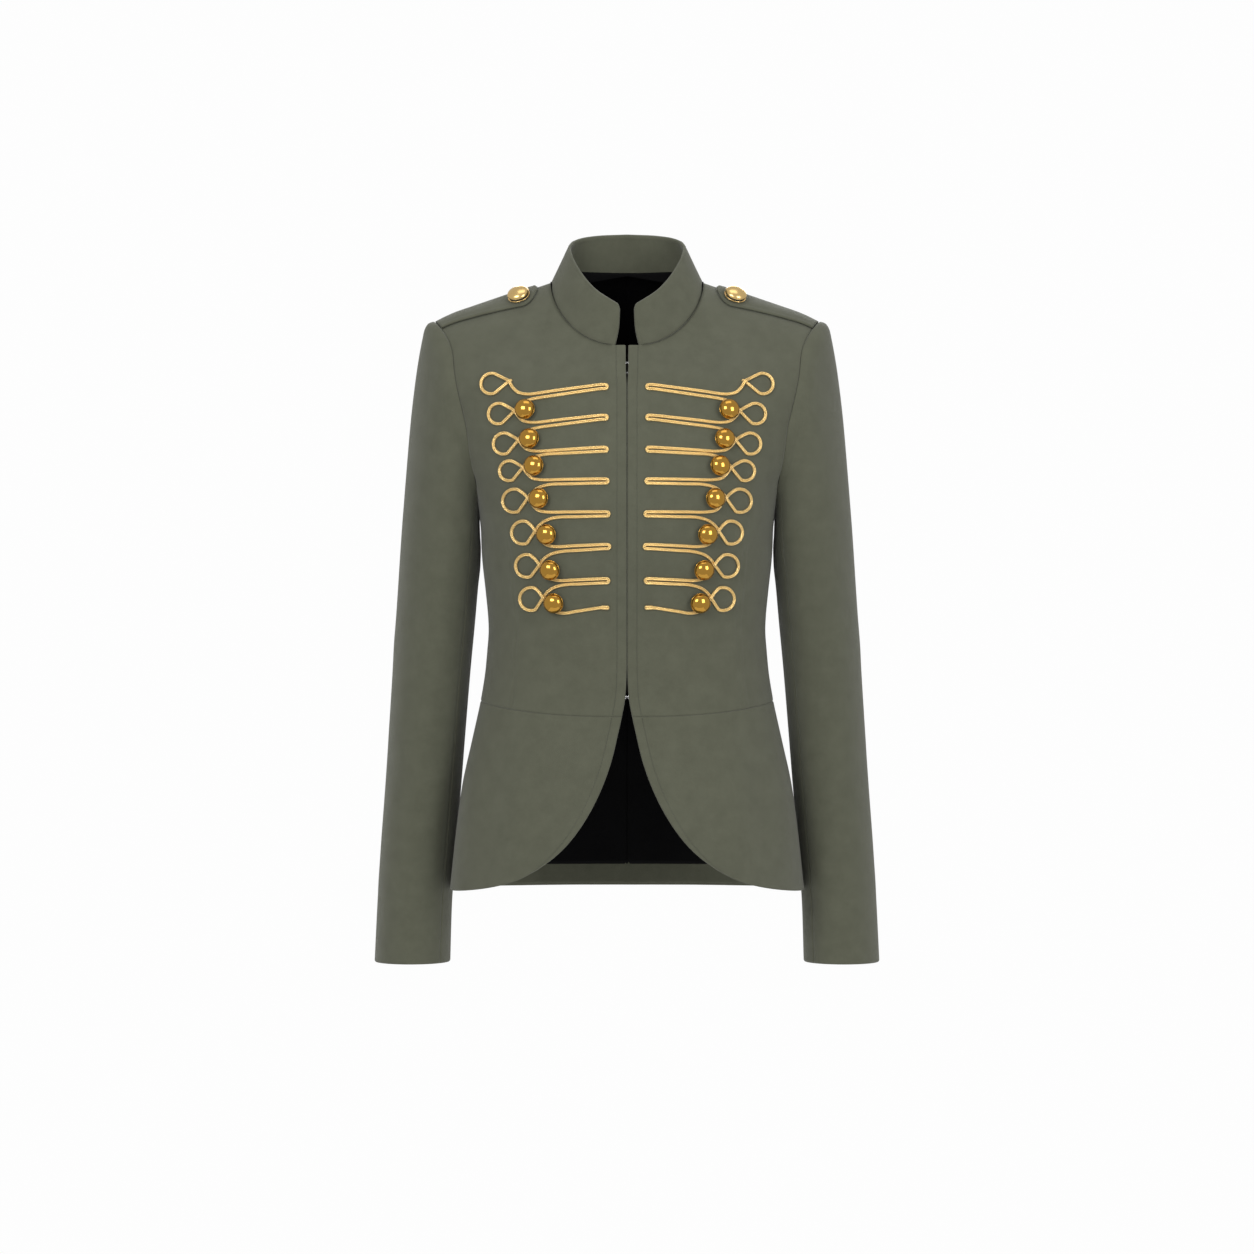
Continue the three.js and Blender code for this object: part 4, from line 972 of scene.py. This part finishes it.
# frogging: one length of double-ridged cord on each front
cord = {
    "width": 3.5, "seat": 0.1, "hairpin": 2.05, "lead": 4, "tail": (-3, 1.5), "step": 1.1,
    "over": 1.9, "overLength": 4.2, "endLength": 8, "endScale": 1.35, "tipScale": 0.6,
    "loopTurn": 112, "loopStep": 14,
    "section": [
        (-1.5, 0.0), (-1.68, 0.75), (-1.38, 1.65), (-0.84, 2.05), (-0.36, 1.7), (0, 1.0),
        (0.36, 1.7), (0.84, 2.05), (1.38, 1.65), (1.68, 0.75), (1.5, 0.0), (0, -0.05),
    ],
    "exit": [(0, 0), (3.6, 0.45), (9.6, 0.86), (20, 1)],
    "entry": [(22, 12.2), (11, 9.6), (4, 5.1), (0, 0)],
}
# loop x, its top and bottom, crossing x and z, dip, hairpin x and z
frogs = [
    (145.1, -95, -118.9, 115.6, -105.3, 13, 19.3, -111.4),
    (137.4, -125, -148.7, 109.8, -134.5, 12, 19.2, -141.9),
    (132.3, -154.4, -178.5, 105.6, -163.3, 11.5, 19.2, -173.5),
    (126.1, -181.7, -204.5, 100.9, -190.2, 12.6, 18.4, -204.4),
    (123, -209.4, -235.6, 95.7, -219.5, 14.7, 17.4, -236.3),
    (114.1, -240.8, -266.6, 88.4, -251.4, 16.3, 16.7, -267.8),
    (110.3, -273.4, -298.8, 84.4, -284.5, 16, 17.7, -300.8),
    (106.4, -305.5, -331.4, 81.1, -316.7, 15.7, 19.2, -329),
]


def cordRoute():
    # x and z of points on the front, and the numbers of those where the cord crosses over itself
    route = []
    crossings = []
    first = frogs[0]
    route.append((first[3] + cord["tail"][0], first[4] + cord["tail"][1]))
    for n, (loopX, loopTop, loopBottom, crossX, crossZ, dip, tipX, tipZ) in enumerate(frogs):
        route.append((crossX, crossZ))
        radius = (loopTop - loopBottom - cord["width"]) / 2
        middleX = loopX - cord["width"] / 2 - radius
        middleZ = (loopTop + loopBottom) / 2
        for degrees in range(-cord["loopTurn"], cord["loopTurn"] + 1, cord["loopStep"]):
            turn = math.radians(degrees)
            route.append((middleX + radius * math.cos(turn), middleZ + radius * math.sin(turn)))
        crossings.append(len(route))
        for towards, share in cord["exit"]:
            route.append((crossX - towards, crossZ - share * dip))
        upper = (tipX + cord["hairpin"] + cord["lead"], tipZ + cord["hairpin"])
        start = route[-1]
        for share in (0.33, 0.66, 1):
            route.append((lerp(start[0], upper[0], share), lerp(start[1], upper[1], share)))
        if n == len(frogs) - 1:
            route.append((tipX - cord["hairpin"], upper[1]))
            break
        for degrees in (70, 35, 0, -35, -70):
            turn = math.radians(degrees)
            x = tipX + cord["hairpin"] * (1 - math.cos(turn))
            route.append((x, tipZ + cord["hairpin"] * math.sin(turn)))
        lower = (upper[0], tipZ - cord["hairpin"])
        nextX, nextZ = frogs[n + 1][3], frogs[n + 1][4]
        entry = [(nextX - towards, nextZ + rise) for towards, rise in cord["entry"]]
        for share in (0, 0.33, 0.66):
            route.append((lerp(lower[0], entry[0][0], share), lerp(lower[1], entry[0][1], share)))
        route.extend(entry[:-1])
    return np.array(route), crossings


def smoothLine(points, step):
    # round line through the points, at even steps, with the place of each given point
    ends = np.concatenate([[2 * points[0] - points[1]], points, [2 * points[-1] - points[-2]]])
    line = []
    marks = []
    for n in range(1, len(ends) - 2):
        marks.append(len(line))
        p0, p1, p2, p3 = ends[n - 1:n + 3]
        m1 = (p2 - p0) / 2
        m2 = (p3 - p1) / 2
        size = np.linalg.norm(p2 - p1)
        m1 = m1 * min(1, size / max(np.linalg.norm(m1), 1e-6))
        m2 = m2 * min(1, size / max(np.linalg.norm(m2), 1e-6))
        count = max(2, int(size / step))
        for s in np.arange(count) / count:
            h = s * s * (3 - 2 * s)
            line.append(p1 + (p2 - p1) * h + m1 * s * (1 - s) ** 2 - m2 * s * s * (1 - s))
    line.append(points[-1])
    marks.append(len(line) - 1)
    return np.array(line), marks


route, crossings = cordRoute()
line, marks = smoothLine(route, cord["step"])
x, z = line[:, 0], line[:, 1]
points = np.stack([x, frontY(x, z), z], -1)
normals = frontNormals(x, z)
along = lengthsAlong(points[None], 1)[0]
over = np.zeros(len(line))
for crossing in crossings:
    over += cord["over"] * falloff(along - along[marks[crossing]], cord["overLength"])
way = unit(np.gradient(points, axis=0))
across = unit(np.cross(way, normals))
endScale = np.where(along > along[-1] - cord["endLength"], cord["endScale"], 1.0)
vertices = []
for n in range(len(line)):
    size = endScale[n] * (cord["tipScale"] if n in (0, len(line) - 1) else 1)
    for u, v in cord["section"]:
        vertices.append(points[n] + across[n] * u * size + normals[n] * (v * size + cord["seat"] + over[n]))
count = len(cord["section"])
faces = tubeFaces(0, len(line), count)
uv = [(along[n] / 10, k / count) for n in range(len(line)) for k in range(count)]
print("cord on each front, m", round(float(along[-1]) * metre, 3))
for name, side in sides:
    piece = meshObject(f"frogging_{name}_cord", vertices, faces, uv, None, (braidGold,), side)
    settle(piece, f"frogging_{name}")


print("frogging made")

# buttons: a dome on a rim with a shank, standing along +Z before it is placed
frontButton = {
    "width": 20, "height": 8.2, "seat": 3.5, "rim": 1.1, "shank": 2.0,
    "places": [
        (2, 98.7, -134), (3, 94, -163), (4, 89.1, -189.1), (5, 84.2, -220.7), (6, 76.8, -255.5),
        (7, 73.5, -289.6), (8, 70.1, -322),
    ],
}
strapButton = {
    "width": 22.6, "height": 7, "seat": 0.4, "rim": 1.1, "shank": 2.0, "x": 107.8, "across": 0.49, "above": 0.2,
}
buttonShape = {"domeShare": 0.985, "rimRadius": 0.55, "leastSeat": 0.4, "shankInside": 0.6}


def buttonMaster(name, size):
    radius = size["width"] / 2 * metre
    height = (size["height"] - size["rim"]) * metre
    base = (size["seat"] + size["rim"]) * metre
    bpy.ops.object.select_all(action="DESELECT")
    bpy.ops.mesh.primitive_uv_sphere_add(segments=40, ring_count=24, radius=radius, location=(0, 0, 0))
    dome = bpy.context.object
    dome.name = name
    bpy.ops.object.mode_set(mode="EDIT")
    bpy.ops.mesh.select_all(action="SELECT")
    bpy.ops.mesh.bisect(plane_co=(0, 0, 0), plane_no=(0, 0, 1), clear_inner=True, use_fill=True)
    bpy.ops.mesh.select_all(action="SELECT")
    bpy.ops.transform.resize(value=(buttonShape["domeShare"], buttonShape["domeShare"], height / radius))
    bpy.ops.transform.translate(value=(0, 0, base))
    bpy.ops.mesh.select_all(action="DESELECT")
    bpy.ops.mesh.primitive_torus_add(
        major_segments=40, minor_segments=10, location=(0, 0, base),
        major_radius=radius - buttonShape["rimRadius"] * metre, minor_radius=buttonShape["rimRadius"] * metre,
    )
    bpy.ops.mesh.select_all(action="DESELECT")
    shankHeight = max(size["seat"], buttonShape["leastSeat"]) * metre + buttonShape["shankInside"] * metre
    bpy.ops.mesh.primitive_cylinder_add(
        vertices=16, radius=size["shank"] * metre, depth=shankHeight, location=(0, 0, base - shankHeight / 2),
    )
    bpy.ops.object.mode_set(mode="OBJECT")
    bpy.ops.object.shade_smooth_by_angle(angle=math.radians(40))
    return dome


def placeButton(master, name, point, normal, side, material, node):
    mesh = master.data.copy()
    turn = Vector((0, 0, 1)).rotation_difference(Vector((normal[0] * side, normal[1], normal[2])))
    place = Matrix.Translation(Vector((point[0] * side, point[1], point[2])) * metre)
    mesh.transform(place @ turn.to_matrix().to_4x4())
    mesh.materials.clear()
    mesh.materials.append(material)
    settle(linkObject(name, mesh), node)


master = buttonMaster("front_button_master", frontButton)
for row, x, z in frontButton["places"]:
    at = np.array([x]), np.array([z])
    point = np.array([x, frontY(*at)[0], z])
    normal = frontNormals(*at)[0]
    for name, side in sides:
        placeButton(master, f"dome_{name}_{row}", point, normal, side, polishedBrass,
                    f"button_{name}_{row}")
bpy.data.objects.remove(master)
master = buttonMaster("strap_button_master", strapButton)
along = (shoulder["armX"] - strapButton["x"]) / (shoulder["armX"] - strap["endX"])
point = strapPoints(np.array([along]), np.array([strapButton["across"]]))[0]
normal = frontNormals(point[:1], point[2:3])[0]
point = point + normal * (strap["lift"] + strapButton["above"])
for name, side in sides:
    placeButton(master, f"strap_dome_{name}", point, normal, side, paleBrass,
                f"strap_button_{name}")
bpy.data.objects.remove(master)

print("buttons made")

# hooks and eyes behind the front edges
wire = {
    "length": 7.0, "height": 4.6, "radius": 0.5, "gap": 0.75, "wall": 2.0, "apart": 0.2, "nearMiddle": 0.4,
    "heights": [-85.3, -95.6, -414.5],
}

for n, z in enumerate(wire["heights"]):
    normal = frontNormals(np.array([wire["nearMiddle"]]), np.array([z]))[0]
    normal[0] = 0
    normal = unit(normal)
    point = np.array([0, frontY(np.array([0.01]), np.array([z]))[0], z])
    point = point - normal * (wire["wall"] + wire["gap"] + wire["radius"])
    for name, side in (("hook", -1), ("eye", 1)):
        bpy.ops.object.select_all(action="DESELECT")
        bpy.ops.mesh.primitive_torus_add(
            major_segments=32, minor_segments=10, location=(0, 0, 0),
            major_radius=(wire["height"] / 2 - wire["radius"]) * metre, minor_radius=wire["radius"] * metre,
        )
        loop = bpy.context.object
        loop.name = f"{name}_wire_{n + 1}"
        bpy.ops.object.mode_set(mode="EDIT")
        bpy.ops.mesh.select_all(action="SELECT")
        bpy.ops.transform.resize(value=(wire["length"] / wire["height"], 1, 1))
        bpy.ops.object.mode_set(mode="OBJECT")
        bpy.ops.object.shade_smooth()
        turn = Vector((0, 0, 1)).rotation_difference(Vector(normal))
        shift = Vector((side * (wire["length"] / 2 + wire["apart"]), point[1], point[2])) * metre
        loop.data.transform(Matrix.Translation(shift) @ turn.to_matrix().to_4x4())
        loop.data.materials.append(steelWire)
        settle(loop, f"{name}_{n + 1}")


print("hooks and eyes made")

# camera, floor and lights
view = {"distance": 4.0, "height": -0.346, "lens": 114.83, "sensor": 36, "end": 50}
studio = {"light": 0.62, "background": 0.985, "floorZ": -1.4, "floor": (0.86, 0.86, 0.86)}
lights = [
    # name, place, width, height, power, and what it points at
    ("key", (-1.5, -2.8, 0.9), 1.6, 1.2, 44, (0, 0, -0.35)),
    ("fill", (2.0, -2.5, 0.3), 1.2, 1.6, 34, (0, 0, -0.35)),
    ("top", (0.1, -0.6, 2.2), 1.8, 1.2, 9, (0, 0, -0.2)),
    ("back", (0.4, 2.6, 1.2), 2.0, 1.4, 34, (0, 0, -0.3)),
]

data = bpy.data.cameras.new("camera")
data.lens = view["lens"]
data.sensor_width = view["sensor"]
data.clip_end = view["end"]
camera = linkObject("camera", data)
camera.location = (0, -view["distance"], view["height"])
camera.rotation_euler = (math.radians(90), 0, 0)
scene.camera = camera
for name, place, width, height, power, target in lights:
    lamp = bpy.data.lights.new(name, "AREA")
    lamp.shape = "RECTANGLE"
    lamp.size = width
    lamp.size_y = height
    lamp.energy = power
    light = linkObject(name, lamp)
    light.location = place
    light.rotation_euler = (Vector(target) - Vector(place)).to_track_quat("-Z", "Y").to_euler()
world = bpy.data.worlds.new("studio")
world.use_nodes = True
scene.world = world
nodes = world.node_tree.nodes
links = world.node_tree.links
shade = nodes["Background"]
bright = nodes.new("ShaderNodeBackground")
for node, strength in ((shade, studio["light"]), (bright, studio["background"])):
    node.inputs["Color"].default_value = (1, 1, 1, 1)
    node.inputs["Strength"].default_value = strength
path = nodes.new("ShaderNodeLightPath")
mix = nodes.new("ShaderNodeMixShader")
links.new(path.outputs["Is Camera Ray"], mix.inputs["Fac"])
links.new(shade.outputs["Background"], mix.inputs[1])
links.new(bright.outputs["Background"], mix.inputs[2])
links.new(mix.outputs["Shader"], nodes["World Output"].inputs["Surface"])
bpy.ops.object.select_all(action="DESELECT")
bpy.ops.mesh.primitive_plane_add(size=2.0, location=(0, 0, studio["floorZ"]))
floor = bpy.context.object
floor.name = "studio_floor"
floor.data.materials.append(makeMaterial("pale_floor", studio["floor"], 0.9)[0])
scene.view_settings.view_transform = "Standard"

print("studio made")
